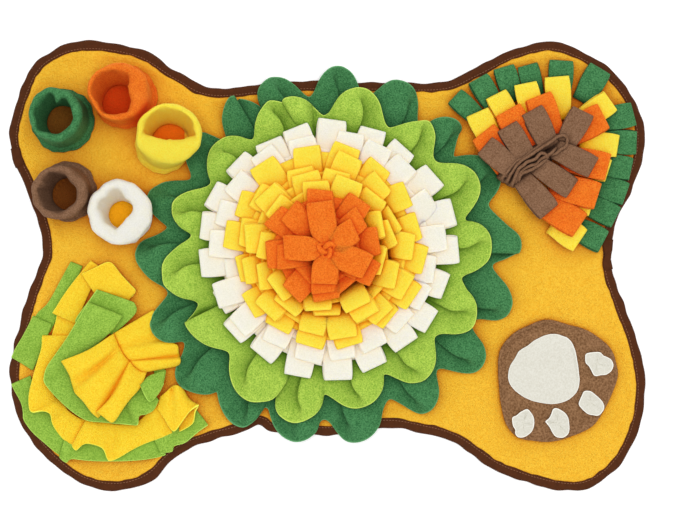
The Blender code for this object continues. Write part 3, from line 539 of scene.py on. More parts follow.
# each petal: bearing of its crease, where the crease opens, how far its two notches are lifted, and its
# edge from one notch to the next
DARK_PETALS = (
    (359.6, 0.97, 0, 0, (
        (492.3, 265.4), (496.4, 262.3), (504.6, 259.8), (512.8, 255.7), (519.9, 252.1), (521.9, 245.5),
        (520.9, 238.4), (516.8, 232.2), (509.7, 227.7), (502.6, 221), (496.4, 214.4), (490.3, 209.3))),
    (24.2, 0.62, 0, 0, (
        (488.1, 205.2), (491.3, 199.6), (497.4, 192), (501.3, 183), (501, 176), (499, 170), (494.6, 164.9),
        (486.7, 159), (478.8, 155.8), (468.9, 155), (460, 155.8))),
    (42.5, 0.62, 0, 0, (
        (453.6, 157), (454.1, 154), (456.1, 145.1), (459, 135.2), (462, 129.3), (461, 124.4),
        (456.1, 119.9), (449.1, 117.6), (440.2, 117.6), (433, 119.8), (427, 124))),
    (60.3, 0.62, 0, 0, (
        (421, 129), (418, 121), (418, 112.5), (418.5, 103.6), (417, 94.7), (413.6, 87.8), (407.6, 82.9),
        (399.7, 80.2), (392.8, 79.9), (385.9, 82.9), (379.9, 88.3), (374, 92.5))),
    (86.8, 0.62, 0, 0, (
        (366, 97), (360, 92), (359.2, 87.1), (357, 80.6), (352.7, 73), (346.2, 67.6), (339.7, 65.4),
        (332.1, 67), (324.5, 73), (319.1, 80.6), (316.4, 87.1), (313.1, 93.6))),
    (106.3, 0.62, 0, 0, (
        (309.3, 97.4), (303.9, 93.6), (297.4, 87.1), (289.8, 80.6), (283.3, 77.3), (276.8, 76.5),
        (269.2, 78.4), (261.6, 84.9), (257.8, 92.5), (258.4, 100.1))),
    (122, 0.97, 0, 0, (
        (262, 108), (257.3, 103.9), (248.6, 100.1), (239.9, 97.9), (231.3, 96.6), (226.9, 102.3),
        (223.7, 111), (222, 119.6), (223.7, 129.4))),
    (136.7, 0.62, 0, 0, (
        (226.5, 138), (220.5, 139), (214.7, 136.3), (208.6, 133.8), (202.4, 132.4), (196.3, 135.3),
        (191.2, 140.4), (187.1, 146.5), (185.6, 153.7), (186.1, 160.8), (188.7, 168), (191.2, 173.6))),
    (160.4, 0.5, 0, 0, (
        (190.7, 179.2), (184.1, 180.4), (173.9, 180.4), (163.7, 181.7), (155.5, 185.8), (149.4, 191.4),
        (147.6, 199.6), (149.4, 207.8), (154.5, 214.9), (160.6, 221), (164.7, 224.3))),
    (178.3, 0.62, 0, 0, (
        (167.8, 227.1), (164.7, 230.2), (155.5, 235.3), (145.3, 238.9), (139.2, 243.5), (135.6, 251.6),
        (136.1, 259.8), (141, 268.5), (151.5, 280), (162.5, 286))),
    (202.8, 0.62, 0, 0, (
        (168.5, 292.5), (163.6, 300.1), (156, 308.8), (150.6, 317.5), (149.5, 324), (152.8, 332.6),
        (159.3, 339.1), (166.9, 342.4), (175.5, 342.4), (182, 341.1))),
    (221.2, 0.62, 0, 0, (
        (184.8, 342.9), (183.1, 352.2), (178.8, 360.8), (175, 369.5), (175.5, 379.3), (181, 386.8),
        (190.7, 391.7), (202.6, 394.4), (212.4, 393.9))),
    (243, 0.62, 0, 0, (
        (217, 391), (217.8, 397), (219.4, 404.2), (224.3, 415), (231.9, 423.7), (241.7, 427.5),
        (249.3, 424.8), (256.8, 418.3), (262, 411))),
    (259, 0.5, 0, 0, (
        (265.1, 406.8), (268.4, 408.1), (270.5, 417.9), (274.9, 428.7), (281.4, 436.3), (289, 440.7),
        (296.6, 442), (305.2, 440.1), (312.8, 435.2), (317.7, 429.8), (318.8, 423.3))),
    (276, 0.6, 0, 0, (
        (322.6, 419.8), (328, 420.6), (333.4, 427.6), (338.8, 435.2), (345.3, 441.2), (354, 443),
        (363.8, 440.7), (372.5, 435.2), (379, 426.6), (381.7, 417.9), (382.8, 409.2))),
    (299.8, 0.62, 0, 0, (
        (389, 399), (395, 400.9), (403, 405.4), (411.1, 410.7), (418.2, 413.8), (424.5, 413.8),
        (431.6, 409.8), (436.1, 403.6), (438.8, 395.5), (438.8, 387.5), (437, 378.6))),
    (321.1, 0.62, 0, 0, (
        (436.5, 370.5), (440.5, 368.3), (448.6, 370.1), (457.5, 372.5), (467.3, 373.9), (475.4, 372.8),
        (481.6, 367.9), (485.2, 360.7), (485.9, 353.6), (483.4, 344.6), (478, 337.5), (473.6, 331.3))),
    (339.6, 0.62, 0, 0, (
        (471.5, 323), (477.6, 319), (486.1, 319.8), (495.5, 320.8), (503, 319), (508.7, 314.5), (512, 307),
        (512.6, 300), (510.7, 293.5), (506.6, 285.3), (500.5, 278.2), (494.4, 271))),
)
LIGHT_PETALS = (
    (2.5, 0.6, 0, 0, (
        (461.2, 278.2), (464.3, 275.1), (474, 272), (482, 267), (489, 260.5), (492, 251), (491.5, 240),
        (487, 230.5), (479, 224), (470, 221.5), (466, 221.5))),
    (25.7, 0.62, 0, 0, (
        (464.6, 218.5), (469, 213), (475, 205), (479.8, 195.5), (481, 187), (478.8, 178.7), (473.9, 171.8),
        (466.9, 166.9), (459, 164.4), (449, 163.7), (439.3, 163.4))),
    (51.3, 0.62, 0, 0, (
        (434.3, 160), (433.3, 154), (434.6, 145), (435.8, 137), (434.3, 129.3), (431, 122.9), (427, 120.6),
        (419.5, 121.4), (407.6, 123.4), (397.7, 126.3))),
    (76.8, 0.62, 0, 0, (
        (389, 128.3), (385.5, 124), (383.4, 116), (380.5, 104), (376, 96), (370, 90.3), (363.5, 88),
        (354.9, 88.4), (345.1, 92.5), (337.5, 100.1), (332.6, 108.8), (329, 114))),
    (96, 0.3, 0, -8, (
        (325, 115.6), (321.3, 114.2), (312.6, 105.5), (305, 100.1), (295.2, 97.2), (286.6, 97.9),
        (281, 101), (289, 108))),
    (111, 0.62, 7, 0, (
        (304, 116), (300.7, 112), (290.9, 105.5), (282.2, 102.3), (273.5, 100.3), (268.1, 101.7),
        (262.7, 108.8), (258.4, 116.4), (255.7, 125.1), (255.1, 133.7))),
    (136, 0.6, 0, 0, (
        (253.5, 139.7), (247.5, 139.5), (242, 137), (234.5, 135.6), (226, 136.4), (218.5, 140.5),
        (213, 146.5), (209.5, 154), (207.9, 164), (208.6, 174.1), (210.6, 179.7))),
    (165, 0.62, 0, 0, (
        (211.6, 183.3), (208.6, 186.3), (201.4, 188.4), (193.3, 189.9), (184.1, 193), (175.9, 198.1),
        (172.3, 203.7), (172.3, 211.8), (174.9, 219), (180, 226.1), (186.1, 230.7), (189.7, 232.2))),
    (187.7, 0.6, 0, 0, (
        (192.2, 235.8), (189.2, 239.4), (181, 244), (172.9, 250.6), (165.7, 257.8), (162.1, 266),
        (162.6, 276), (164.7, 284.9), (171.2, 291.4), (181, 297.4), (190.7, 299.6), (196.1, 300.7))),
    (208, 0.97, 0, 0, (
        (198.8, 303.4), (197.2, 307.7), (194, 313.1), (189.6, 318), (185.8, 322.3), (188.5, 328.8),
        (197.2, 338.6), (208.1, 345.6), (218.9, 348.9), (226.5, 349.8))),
    (237.2, 0.6, 0, 3, (
        (229.7, 352.2), (230.3, 357.6), (229.2, 366.2), (230.3, 377.1), (234.1, 387.9), (240.6, 395.5),
        (249.3, 400.9), (257.9, 401.8), (266.6, 400.9), (274.2, 399), (281.4, 389.7), (286.8, 382.1))),
    (260, 0.62, -3, 0, (
        (290, 376.1), (283, 384), (277, 394), (275.4, 402), (276, 411.4), (280.3, 416.8), (287.9, 421.7),
        (295.5, 423.3), (305.2, 420.6), (315, 414.6), (320.4, 408.1), (322.9, 401.6), (323.1, 396))),
    (281.4, 0.62, 0, 0, (
        (324.7, 393.5), (331.3, 397.3), (338.8, 402.7), (346.4, 407), (355.1, 408.9), (363.8, 407),
        (373.5, 401.6), (380, 394), (383.3, 386.4), (383.8, 378))),
    (305.7, 0.6, 0, 0, (
        (383.4, 374.3), (385.5, 373.4), (391.4, 375.9), (399.5, 379.9), (407.5, 383), (414.6, 383.3),
        (422.7, 381.3), (428.9, 375.9), (433.4, 368.8), (435.6, 360.7), (435.6, 352.7), (434.7, 344.6))),
    (335.6, 0.6, 0, 0, (
        (434.3, 337.5), (437, 334.4), (444.1, 333.5), (453, 334.6), (461.1, 333.9), (469.1, 331.3),
        (474.5, 325.9), (476.9, 317), (476.5, 306.7), (475, 301.6), (471.4, 295), (466.8, 290.4),
        (463.3, 283.3))),
)
# heights of the cloth's middle, and the pleat's strength, by distance from the flower's centre; then
# how far the pleat rises and dips
DARK_HEIGHTS = ((118, 4.5), (122, 5.4), (132, 8.0), (150, 9.0), (175, 10.0), (216, 10.6))
DARK_PLEAT = ((145, 0.0), (162, 0.2), (178, 0.5), (191, 1.0), (204, 0.75), (216, 0.4))
DARK_RISE, DARK_DIP = 9.0, 5.2
LIGHT_HEIGHTS = ((107, 4.5), (110, 8.0), (117, 15.0), (130, 19.0), (150, 21.8), (192, 21.8))
LIGHT_PLEAT = ((116, 0.0), (130, 0.3), (142, 0.5), (153, 1.0), (165, 0.95), (178, 0.6), (190, 0.35))
LIGHT_RISE, LIGHT_DIP = 9.5, 6.8


def read_profile(knots, distance):
    """Read a value from (distance, value) knots, straight between them."""
    for (d0, v0), (d1, v1) in zip(knots, knots[1:]):
        if distance <= d1:
            return mix(v0, v1, max(0.0, (distance - d0) / (d1 - d0)))
    return knots[-1][1]


def direction(degrees):
    angle = math.radians(degrees)
    return Vector((math.cos(angle), math.sin(angle), 0.0))


def smooth_line(points, steps):
    """Points along a smooth open curve through the given ones."""
    curve = []
    for i in range(len(points) - 1):
        before = points[max(0, i - 1)]
        start, end = points[i], points[i + 1]
        after = points[min(len(points) - 1, i + 2)]
        curve += smooth_stretch(before, start, end, after, steps)
    return curve + [points[-1]]


def path_shares(path):
    """How far along a line of points each of them lies, from 0 to 1."""
    shares = [0.0]
    for a, b in zip(path, path[1:]):
        shares.append(shares[-1] + (b - a).length)
    return [share / shares[-1] for share in shares]


def point_on(path, shares, wanted):
    """The point at one share of a line of points."""
    for k in range(len(path) - 1):
        if wanted <= shares[k + 1]:
            return path[k].lerp(path[k + 1], (wanted - shares[k]) / (shares[k + 1] - shares[k]))
    return path[-1]


def turn_from(point, bearing):
    """How far a point lies counter-clockwise of a bearing, seen from the flower's centre."""
    offset = point - FLOWER_CENTRE
    return (math.degrees(math.atan2(offset.y, offset.x)) - bearing + 180) % 360 - 180


def make_petal_ring(petals, unit, root, heights, strengths, rise, dip, seed):
    """A ring of petals as one cloth, swept round petal by petal through the pleat's section."""
    chance = random.Random(seed)
    lapped = smooth_line([Vector(place) for place in LAPPED], 2)[:-1]
    opened = smooth_line([Vector(place) for place in OPENED], 2)[:-1]
    plans = [[FLOWER_CENTRE + Vector((x - PLAN_CENTRE.x, PLAN_CENTRE.y - y, 0.0)) * unit
              for x, y in petal[-1]] for petal in petals]
    columns = []
    for i, (crease, opens, lift_start, lift_end, places) in enumerate(petals):
        after = plans[(i + 1) % len(plans)]
        edge = smooth_line([plans[i - 1][-1]] + plans[i] + after[:2], 4)[4:-4]
        shares = path_shares(edge)
        turns = [turn_from(point, crease) for point in edge]
        folded = next(share for share, turn in zip(shares, turns) if turn >= 0)
        strength = chance.uniform(0.85, 1.15)
        curl = chance.uniform(0.5, 2.4)
        for shut, wide in zip(lapped, opened):
            column = []
            for outward in OUTWARD:
                place = shut.lerp(wide, ease((outward - opens) / OPENING))
                if place.x < CREASE_SHARE:
                    part = max(0.0, place.x) / CREASE_SHARE
                    share, turn = folded * part, turns[0] * (1 - part)
                else:
                    part = (place.x - CREASE_SHARE) / (1 - CREASE_SHARE)
                    share, turn = mix(folded, 1.0, part), turns[-1] * part
                inner = FLOWER_CENTRE + direction(crease + turn) * root
                point = inner.lerp(point_on(edge, shares, share), outward)
                reach = (point - FLOWER_CENTRE).length
                pleat = read_profile(strengths, reach) * strength
                height = read_profile(heights, reach)
                height += pleat * place.y * (rise if place.y > 0 else dip)
                height += outward * (lift_start * (1 - place.x) ** 3 + lift_end * place.x ** 3)
                height += PETAL_WAVE * outward * ripple(point, PETAL_WAVE_PITCH, seed) - curl * outward ** 6
                column.append(point + Vector((0, 0, height)))
            columns.append(column)
    ring = bmesh.new()
    cut_edge = ring.verts.layers.float.new("cut_edge")
    rows = add_rows(ring, [list(row) for row in zip(*columns)])
    join_rows(ring, rows, closed=True)
    for vert in rows[-1]:
        vert[cut_edge] = 1.0
    return ring


dark_green_fleece = fleece("dark_green_fleece", DARK_GREEN, DARK_GREEN_SHADE, depth=0.9,
                           painted_shade=DARK_GREEN_PAINTED_SHADE, reach=25.0)
light_green_fleece = fleece("light_green_fleece", LIGHT_GREEN, LIGHT_GREEN_SHADE, depth=0.9,
                            painted_shade=LIGHT_GREEN_PAINTED_SHADE, reach=28.0)
for petal_name, petals, unit, root, heights, strengths, rise, dip, seed, cloth, ring_area in (
        ("petals_dark", DARK_PETALS, DARK_UNIT, 118, DARK_HEIGHTS, DARK_PLEAT, DARK_RISE, DARK_DIP, 3,
         dark_green_fleece, 0.115),
        ("petals_light", LIGHT_PETALS, LIGHT_UNIT, 107, LIGHT_HEIGHTS, LIGHT_PLEAT, LIGHT_RISE,
         LIGHT_DIP, 8, light_green_fleece, 0.085)):
    petal_mesh = make_petal_ring(petals, unit, root, heights, strengths, rise, dip, seed)
    petal_piece = cloth_object(petal_name + "_cloth", petal_mesh, cloth,
                               thickness=FLEECE_THICKNESS, smooth_levels=1)
    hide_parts(petal_name)


# ================================================================ flower loops
# Nine rings of slit loops, each a doubled strip of fleece cut across and sewn on at its raw edges. The
# loops spring up from their seam, fold over and lie out on the ring below, each a little askew.
# the third colour of each is painted shade, mixed in where the loops crowd round one another
WHITE = "#f4eedb"
WHITE_SHADE = "#ece6d0"
WHITE_PAINTED_SHADE = "#ffe9c6"
YELLOW = "#ffe24e"
YELLOW_SHADE = "#ffd436"
YELLOW_PAINTED_SHADE = "#ff9c00"
ORANGE = "#fb8424"
ORANGE_SHADE = "#e6630d"
ORANGE_PAINTED_SHADE = "#e04206"
LOOP_CLOTH = 1.9                        # mm
LOOP_GAP_ROOT = 2.1                     # between the middles of a loop's two layers
LOOP_GAP_TIP = 3.6
LOOP_RISE_RUN = (1.4, 12.0)             # how quickly it springs up, and how slowly it levels out
LOOP_RISE_SHARES = (0.72, 0.28)         # of its height, by each of the two
# how the loops differ: width, turn in degrees, roll, and in mm their crown, the underside's slip and the sag
LOOP_WIDTHS, LOOP_TURNS, LOOP_ROLLS = (0.95, 1.05), (-3.5, 3.5), (-0.06, 0.06)
LOOP_CROWNS, LOOP_SLIPS, LOOP_SAGS = (0.2, 1.0), (-1.8, 1.8), (0.0, 1.4)
TIP_ROUNDING_START, TIP_ROUNDING = 0.9, 0.06
ACROSS_LOOP = (-1.0, -0.84, 0.0, 0.84, 1.0)
ALONG_LOOP = (0.0, 0.035, 0.1, 0.2, 0.36, 0.56, 0.78, 0.93, 1.0)
TIP_STEPS = 4
SEAM_TOP = 8.0
RING_LIFT = 3.0                         # the loops ride up on the petals' pleats
ROOT_TURN = 0.4
ROOT_NARROWING = 0.97
# the loops that fill the room between two tips: how much shorter, how much lower, and how far out sewn
UNDER_SHORT = {"white": 15.0, "yellow": 8.0, "orange": 8.0}
UNDER_DROP = 3.2
UNDER_SEAM_STEP = 3
# the innermost five are drawn in to the knot: distance out and width of their roots, and their seam's top
BOW_ROOT, BOW_ROOT_WIDTH, BOW_SEAM_TOP = 4.0, 11.0, 53.0
BOW_FLARE, BOW_GATHER = 3.2, 1.6
ACROSS_BOW = (-1.0, -0.84, -0.62, -0.4, -0.2, 0.0, 0.2, 0.4, 0.62, 0.84, 1.0)
# each ring: seam radius, tip height, loop width, colour; then bearing, reach and turn of each tip, and
# how far it rolls over where it does
FLOWER_RINGS = {
    "loops_white_1": (97, 26.0, 31, "white", (
        (0, 142, 2), (17, 143, -3), (35, 142, 4), (53, 139, -2), (69, 140, 3), (87.5, 141, -3),
        (104.5, 137, 5), (118.5, 134, -3), (135.6, 138, 2), (153.7, 140, -4), (169, 139, 3),
        (186, 138, -2), (206, 130, 4), (221.6, 137, 0), (238, 135, -5), (256.7, 140, 2), (275, 141, -2),
        (292, 137, 3), (310, 134, -3), (325.4, 137, 4), (342.7, 134, -2))),
    "loops_white_2": (87, 31.0, 30, "white", (
        (6.3, 129, 3), (25.8, 126, 14, 0.5), (47.6, 128, -4), (63.2, 127, -2), (78.1, 129, 0),
        (103.2, 124, 3), (123.9, 128, 4), (143.5, 127, -3), (160.5, 125, 2), (176.5, 127, -2),
        (202.4, 130, -8), (220.7, 128, 2), (240.5, 117, 3), (260, 122, -4), (278.4, 119, 2), (296.4, 118, -2),
        (316.5, 116, 3), (333.5, 119, -2), (349.5, 118, 4))),
    "loops_yellow_1": (77, 36.0, 31, "yellow", (
        (15, 102, 5), (34.9, 106, -13), (57.7, 108, -5), (78.9, 114, -12), (101.5, 113, -6),
        (127.2, 117, -3), (151.9, 108, 13), (171, 111, -2), (192.4, 98, 0), (215.7, 104, -6),
        (237.8, 100, 7), (259.2, 105, -5), (283.8, 106, 2), (312.6, 101, 6), (330.8, 107, -2),
        (353.5, 106, -9))),
    "loops_yellow_2": (67, 40.5, 31, "yellow", (
        (1.6, 93, -11), (25.5, 81, 7), (50.9, 95, -8), (75.9, 104, -13), (108.7, 92, -7), (142, 97, 11),
        (168, 95, 2), (194.6, 92, -2), (224.9, 94, 1), (259.1, 91, -3), (280.7, 96, 1), (310.7, 94, 5),
        (334.5, 96, -3))),
    "loops_yellow_3": (57, 45.0, 31, "yellow", (
        (15.7, 73, 7), (48, 79, 3), (82.3, 85, -6), (106, 85, -2), (137.2, 91, -2), (172.3, 88, 11),
        (201.7, 79, -11), (234.3, 77, -4), (270.5, 70, 1), (301.2, 84, 0), (339.2, 80, 7))),
    "loops_yellow_4": (47, 49.5, 31, "yellow", (
        (25.3, 66, -15), (71.8, 79, -5), (99.5, 74, -3), (139.5, 75, 0), (175.5, 73, -6), (218, 70, 1),
        (262.3, 65, 14), (298.8, 70, -5), (348, 62, -4))),
    "loops_orange_1": (27, 53.5, 30, "orange", (
        (10.7, 56, 0), (55.8, 64, -3), (96.8, 64, -11), (147, 68, -9), (185.4, 64, 2), (231.5, 60, -9),
        (270.2, 53, 9), (302, 45, 5), (332.4, 58, 3))),
    "loops_orange_2": (16, 56.5, 27, "orange", (
        (43.7, 51, -14), (97, 43, -4), (134, 58, 9), (188.6, 53, -7), (265, 46, 9), (331, 42, -3))),
    "loops_orange_3": (BOW_ROOT, 60.0, 28, "orange", (
        (36.4, 37, -14), (99, 51, -4), (176.8, 45, 9), (265.5, 36, 5), (337, 47, -5))),
}


def loop_centre_line(run, seam_top, tip_height, sag):
    """Where a loop's middle runs: (distance out, height) pairs from its seam to just short of its tip."""
    rise = tip_height - seam_top
    quick, slow = LOOP_RISE_RUN
    quick_share, slow_share = LOOP_RISE_SHARES
    line = []
    for share in ALONG_LOOP:
        out = share * run
        climb = 1 - quick_share * math.exp(-out / quick) - slow_share * math.exp(-out / slow)
        line.append((out, seam_top + rise * climb - sag * share ** 3))
    return line


def add_loop(cloth, root, along, root_width, tip, heading, width, tip_height, seam_top, chance, gap_tip,
             flare=1.6, gather=0.0, rolled=0.0):
    """Add one doubled loop: out on top, round the tip and back underneath, as one ribbon.

    Returns the length and width it was cut to.
    """
    lean = Vector((tip.x - root.x, tip.y - root.y, 0.0))
    run = lean.length - gap_tip / 2
    lean.normalize()
    width *= chance.uniform(*LOOP_WIDTHS)
    askew = math.radians(chance.uniform(*LOOP_TURNS))
    roll = chance.uniform(*LOOP_ROLLS) + rolled
    crown = chance.uniform(*LOOP_CROWNS)
    slip = chance.uniform(*LOOP_SLIPS)
    tip_along = Vector((heading.y, -heading.x, 0.0))
    if tip_along.dot(along) < 0:
        tip_along = -tip_along
    tip_along = Vector((tip_along.x * math.cos(askew) - tip_along.y * math.sin(askew),
                        tip_along.x * math.sin(askew) + tip_along.y * math.cos(askew), 0.0))
    line = loop_centre_line(run, seam_top, tip_height, chance.uniform(*LOOP_SAGS))
    top = []
    under = []
    for k, (out, z) in enumerate(line):
        before = line[max(0, k - 1)]
        after = line[min(len(line) - 1, k + 1)]
        slope = Vector((after[0] - before[0], after[1] - before[1])).normalized()
        gap = mix(LOOP_GAP_ROOT, gap_tip, ease(out / run)) / 2
        top.append((out - slope.y * gap, z + slope.x * gap, out / run, 1))
        under.append((out + slope.y * gap, z - slope.x * gap, out / run, -1))
    end_out, end_z = line[-1]
    arc = []
    for step in range(1, TIP_STEPS):
        turn = math.pi * step / TIP_STEPS
        arc.append((end_out + math.sin(turn) * gap_tip * 0.5, end_z + math.cos(turn) * gap_tip / 2, 1.0,
                    math.cos(turn)))
    rows = []
    for out, z, share, side in top + arc + under[::-1]:
        half = (along * root_width).lerp(tip_along * width, ease(share * flare)) / 2
        half *= 1 - TIP_ROUNDING * max(0.0, share - TIP_ROUNDING_START) * 10
        middle = root + lean * out + half.normalized() * slip * (1 - side) / 2 * (0.4 + 0.6 * share)
        folds = gather * max(0.0, 1 - share * 1.5) * side
        rows.append([cloth.verts.new(middle + half * t
                                     + Vector((0, 0, z + half.length * t * roll * share
                                               + crown * (0.5 - t * t) * share * side
                                               + folds * math.cos(3.2 * math.pi * t))))
                     for t in (ACROSS_LOOP if gather == 0 else ACROSS_BOW)])
    join_rows(cloth, rows)
    length = sum(math.dist(a, b) for a, b in zip(line, line[1:])) * 2 + gap_tip * 1.5
    return length, (root_width + width) / 2


yellow_fleece = fleece("yellow_fleece", YELLOW, YELLOW_SHADE, depth=0.5, painted_shade=YELLOW_PAINTED_SHADE,
                       reach=24.0, glow=0.6)
orange_fleece = fleece("orange_fleece", ORANGE, ORANGE_SHADE, depth=0.8, painted_shade=ORANGE_PAINTED_SHADE,
                       reach=22.0, glow=0.4)
white_fleece = fleece("white_fleece", WHITE, WHITE_SHADE, depth=0.3, painted_shade=WHITE_PAINTED_SHADE, glow=0.6)
LOOP_CLOTHS = {"white": white_fleece, "yellow": yellow_fleece, "orange": orange_fleece}
for ring_number, (ring_name, ring) in enumerate(FLOWER_RINGS.items()):
    seam_radius, tip_height, loop_width, colour, tips = ring
    chance = random.Random(40 + ring_number)
    bearings = [bearing - turn * ROOT_TURN for bearing, reach, turn, *rolled in tips]
    ring_mesh = bmesh.new()
    for i, (bearing, reach, turn, *rolled) in enumerate(tips):
        next_tip = tips[(i + 1) % len(tips)]
        after = (bearings[(i + 1) % len(tips)] - bearings[i]) % 360
        tip = FLOWER_CENTRE + direction(bearing) * reach
        if ring_name == "loops_orange_3":
            add_loop(ring_mesh, FLOWER_CENTRE + direction(bearing) * seam_radius,
                                 direction(bearing + 90), BOW_ROOT_WIDTH, tip, direction(bearing + turn),
                                 loop_width, tip_height + RING_LIFT + chance.uniform(-0.8, 0.8),
                                 BOW_SEAM_TOP, chance, LOOP_GAP_TIP, flare=BOW_FLARE, gather=BOW_GATHER)
            continue
        root_width = loop_width * ROOT_NARROWING
        add_loop(ring_mesh, FLOWER_CENTRE + direction(bearings[i]) * seam_radius,
                             direction(bearings[i] + 90), root_width, tip, direction(bearing + turn),
                             loop_width, tip_height + RING_LIFT, SEAM_TOP, chance, LOOP_GAP_TIP,
                             rolled=sum(rolled))
        # a shorter loop fills the room between two tips, a little lower down
        between = bearing + ((next_tip[0] - bearing) % 360) / 2
        short = min(reach, next_tip[1]) - UNDER_SHORT[colour]
        under_root = direction(bearings[i] + after / 2) * (seam_radius + UNDER_SEAM_STEP)
        add_loop(ring_mesh, FLOWER_CENTRE + under_root,
                             direction(bearings[i] + after / 2 + 90), root_width,
                             FLOWER_CENTRE + direction(between) * short,
                             direction(between + chance.uniform(-6, 6)), loop_width,
                             tip_height + RING_LIFT - UNDER_DROP, SEAM_TOP, chance, LOOP_GAP_TIP)
    ring_piece = cloth_object(ring_name + "_cloth", ring_mesh, LOOP_CLOTHS[colour],
                              thickness=LOOP_CLOTH, smooth_levels=1)
    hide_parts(ring_name)


# ================================================================ knot
# The innermost orange loops are drawn into the middle, and their ends are tied in one small knot that
# covers the sewn roots.
KNOT_STRAND = 3.0                       # radius of the twisted fleece
KNOT_SIZE = 2.9                         # mm for each unit of the knot's curve
KNOT_HEIGHT = 61.5
KNOT_STATIONS = 84
KNOT_SIDES = 10
KNOT_WEAVE = 2.2                        # how far its strand passes over and under
STEM_SIDES = 40
# the drawn-in cloth below the knot: radius, height
KNOT_STEM = ((9.0, 4.5), (7.0, 20), (7.0, 40), (8.5, 52), (8.0, 57), (4.0, 59.5))


def knot_point(turn):
    """A place on the knot's middle line, a trefoil, at a share of its round."""
    angle = math.tau * turn
    return FLOWER_CENTRE + Vector(((math.sin(angle) + 2 * math.sin(2 * angle)) * KNOT_SIZE,
                                   (math.cos(angle) - 2 * math.cos(2 * angle)) * KNOT_SIZE,
                                   KNOT_HEIGHT - math.sin(3 * angle) * KNOT_WEAVE))


knot = bmesh.new()
knot_rows = []
for k in range(KNOT_STATIONS):
    here = knot_point(k / KNOT_STATIONS)
    along = (knot_point((k + 1) / KNOT_STATIONS) - knot_point((k - 1) / KNOT_STATIONS)).normalized()
    side = along.cross(Vector((0, 0, 1))).normalized()
    above = side.cross(along)
    ring = []
    for s in range(KNOT_SIDES):
        angle = math.tau * s / KNOT_SIDES
        outward = side * math.cos(angle) + above * math.sin(angle)
        # a lengthwise fold that turns along the strand, and the fleece's unevenness
        crease = 1 + 0.16 * math.sin(2 * angle + k * 0.35) + 0.25 * ripple(here + outward * 3, 3.0, 1.0)
        ring.append(here + outward * KNOT_STRAND * crease)
    knot_rows.append(ring)
knot_rings = add_rows(knot, knot_rows)
join_rows(knot, knot_rings + knot_rings[:1], closed=True)
stem_rows = []
for radius, height in KNOT_STEM:
    ring = []
    for s in range(STEM_SIDES):
        bearing = 360 / STEM_SIDES * s
        flute = 1 + 0.14 * math.sin(math.radians(5 * bearing)) + 0.06 * math.sin(math.radians(11 * bearing))
        ring.append(FLOWER_CENTRE + direction(bearing) * radius * flute + Vector((0, 0, height)))
    stem_rows.append(ring)
stem_rings = add_rows(knot, stem_rows)
join_rows(knot, stem_rings, closed=True)
knot.faces.new(stem_rings[0])
knot.faces.new(stem_rings[-1])
knot_piece = cloth_object("flower_knot_cloth", knot, orange_fleece,
                          smooth_levels=1)
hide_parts("flower_knot")


# ================================================================ cups
# Five short cups. Each is a band of fleece folded double into a fat soft rim, closed into a tube and
# sewn down round its foot, where the raw edges spread into a low flange.
BROWN = "#8d6a50"
BROWN_SHADE = "#6c4b33"
# painted shade: the brown is deepened towards this colour where other cloth is close by
BROWN_PAINTED_SHADE = "#40281a"
CUP_COLUMNS = 96
DECK = 4.1                              # top of the mat, and room for half the cloth's thickness
WALL_EASE = 1.15                        # the wall reaches its rim's place a little below the rim
FOOT_WAVE, RIM_WAVE, WALL_WAVE_PITCH = 0.6, 2.0, 13.0
WALL_CRINKLE, WALL_CRINKLE_PITCH = 0.6, 4.0
CREASE_SINK = 0.12                      # how far a crease draws the rim down, for each mm it pushes in
RIM_WAVER, RIM_WAVER_PITCH = 1.2, 22.0
# each cup: foot's centre and radius, the mat left open inside and its radius, rim's centre and radii,
# mouth's centre and radii, mouth's turn, height; then creases in the mouth: bearing, push inwards,
# width in degrees
CUPS = {
    "cup_green": ((-291, 160), 29.5, (-290, 158), 18, (-291.2, 163), (28, 28.3), (-293, 162.7), (20.8, 21.5),
                  0, 48, ((75, 8.5, 12), (345, -2.5, 18), (222, -2.0, 14), (150, 1.4, 20), (100, -1.5, 8))),
    "cup_orange": ((-222, 185), 30, (-227, 179), 20, (-223, 186.7), (31.4, 30), (-229.2, 186), (21, 24), 12,
                   51, ((2, 3.8, 24), (45, -3.0, 12), (310, -3.0, 12), (240, -1.6, 16), (20, 1.6, 4))),
    "cup_yellow": ((-179, 133.5), 27, (-173, 135), 21, (-169.6, 141.5), (34.3, 31.5), (-168.5, 149.5),
                   (26, 19), -5, 50,
                   ((265, 3.6, 40), (198, -4.5, 11), (338, -4.0, 12), (80, 1.0, 20), (268, 1.6, 4))),
    "cup_brown": ((-285.5, 82), 27, (-284, 79), 18, (-287, 78.8), (29, 28), (-288.5, 79), (21, 20.5), 0, 48,
                  ((150, 4.0, 10), (40, 2.4, 20), (230, -1.8, 18), (110, -2.4, 12), (163, 2.0, 4))),
    "cup_white": ((-227, 57), 28.5, (-225, 56), 15.5, (-223.2, 58.4), (34, 34), (-227.5, 62), (19.5, 21), -10,
                  42, ((45, 3.6, 22), (205, 2.6, 20), (130, 2.6, 18), (318, 3.2, 20), (270, -3.0, 12))),
}
CUP_FLANGE = 11.0
FLANGE_TOP = 0.12                       # share of the height
FLANGE_SPREAD, FLANGE_SPREAD_PITCH, FLANGE_WAVE_PITCH = 2.2, 9.0, 8.0
CUP_CLOTH = 1.4                         # thickness of one layer
# the wall's section as (share of the way from outside to inside, share of the height): two raw edges
# below, one over the other and marked in shares of the flange, then the outer face, the rim and the
# inner face
CUP_SECTION = ((-0.42, 0.0), (-0.47, 0.03), (-0.4, 0.052), (-0.2, 0.054), (-0.19, 0.062), (-0.3, 0.075),
               (-0.3, 0.1), (-0.12, 0.112), (0.03, 0.13), (0.04, 0.3), (0.0, 0.5), (-0.03, 0.68),
               (-0.03, 0.8), (-0.02, 0.88), (0.06, 0.95), (0.25, 0.99), (0.5, 1.0), (0.75, 0.985),
               (0.94, 0.94), (1.03, 0.87), (1.03, 0.7), (1.0, 0.5), (1.0, 0.25), (1.0, 0.02))


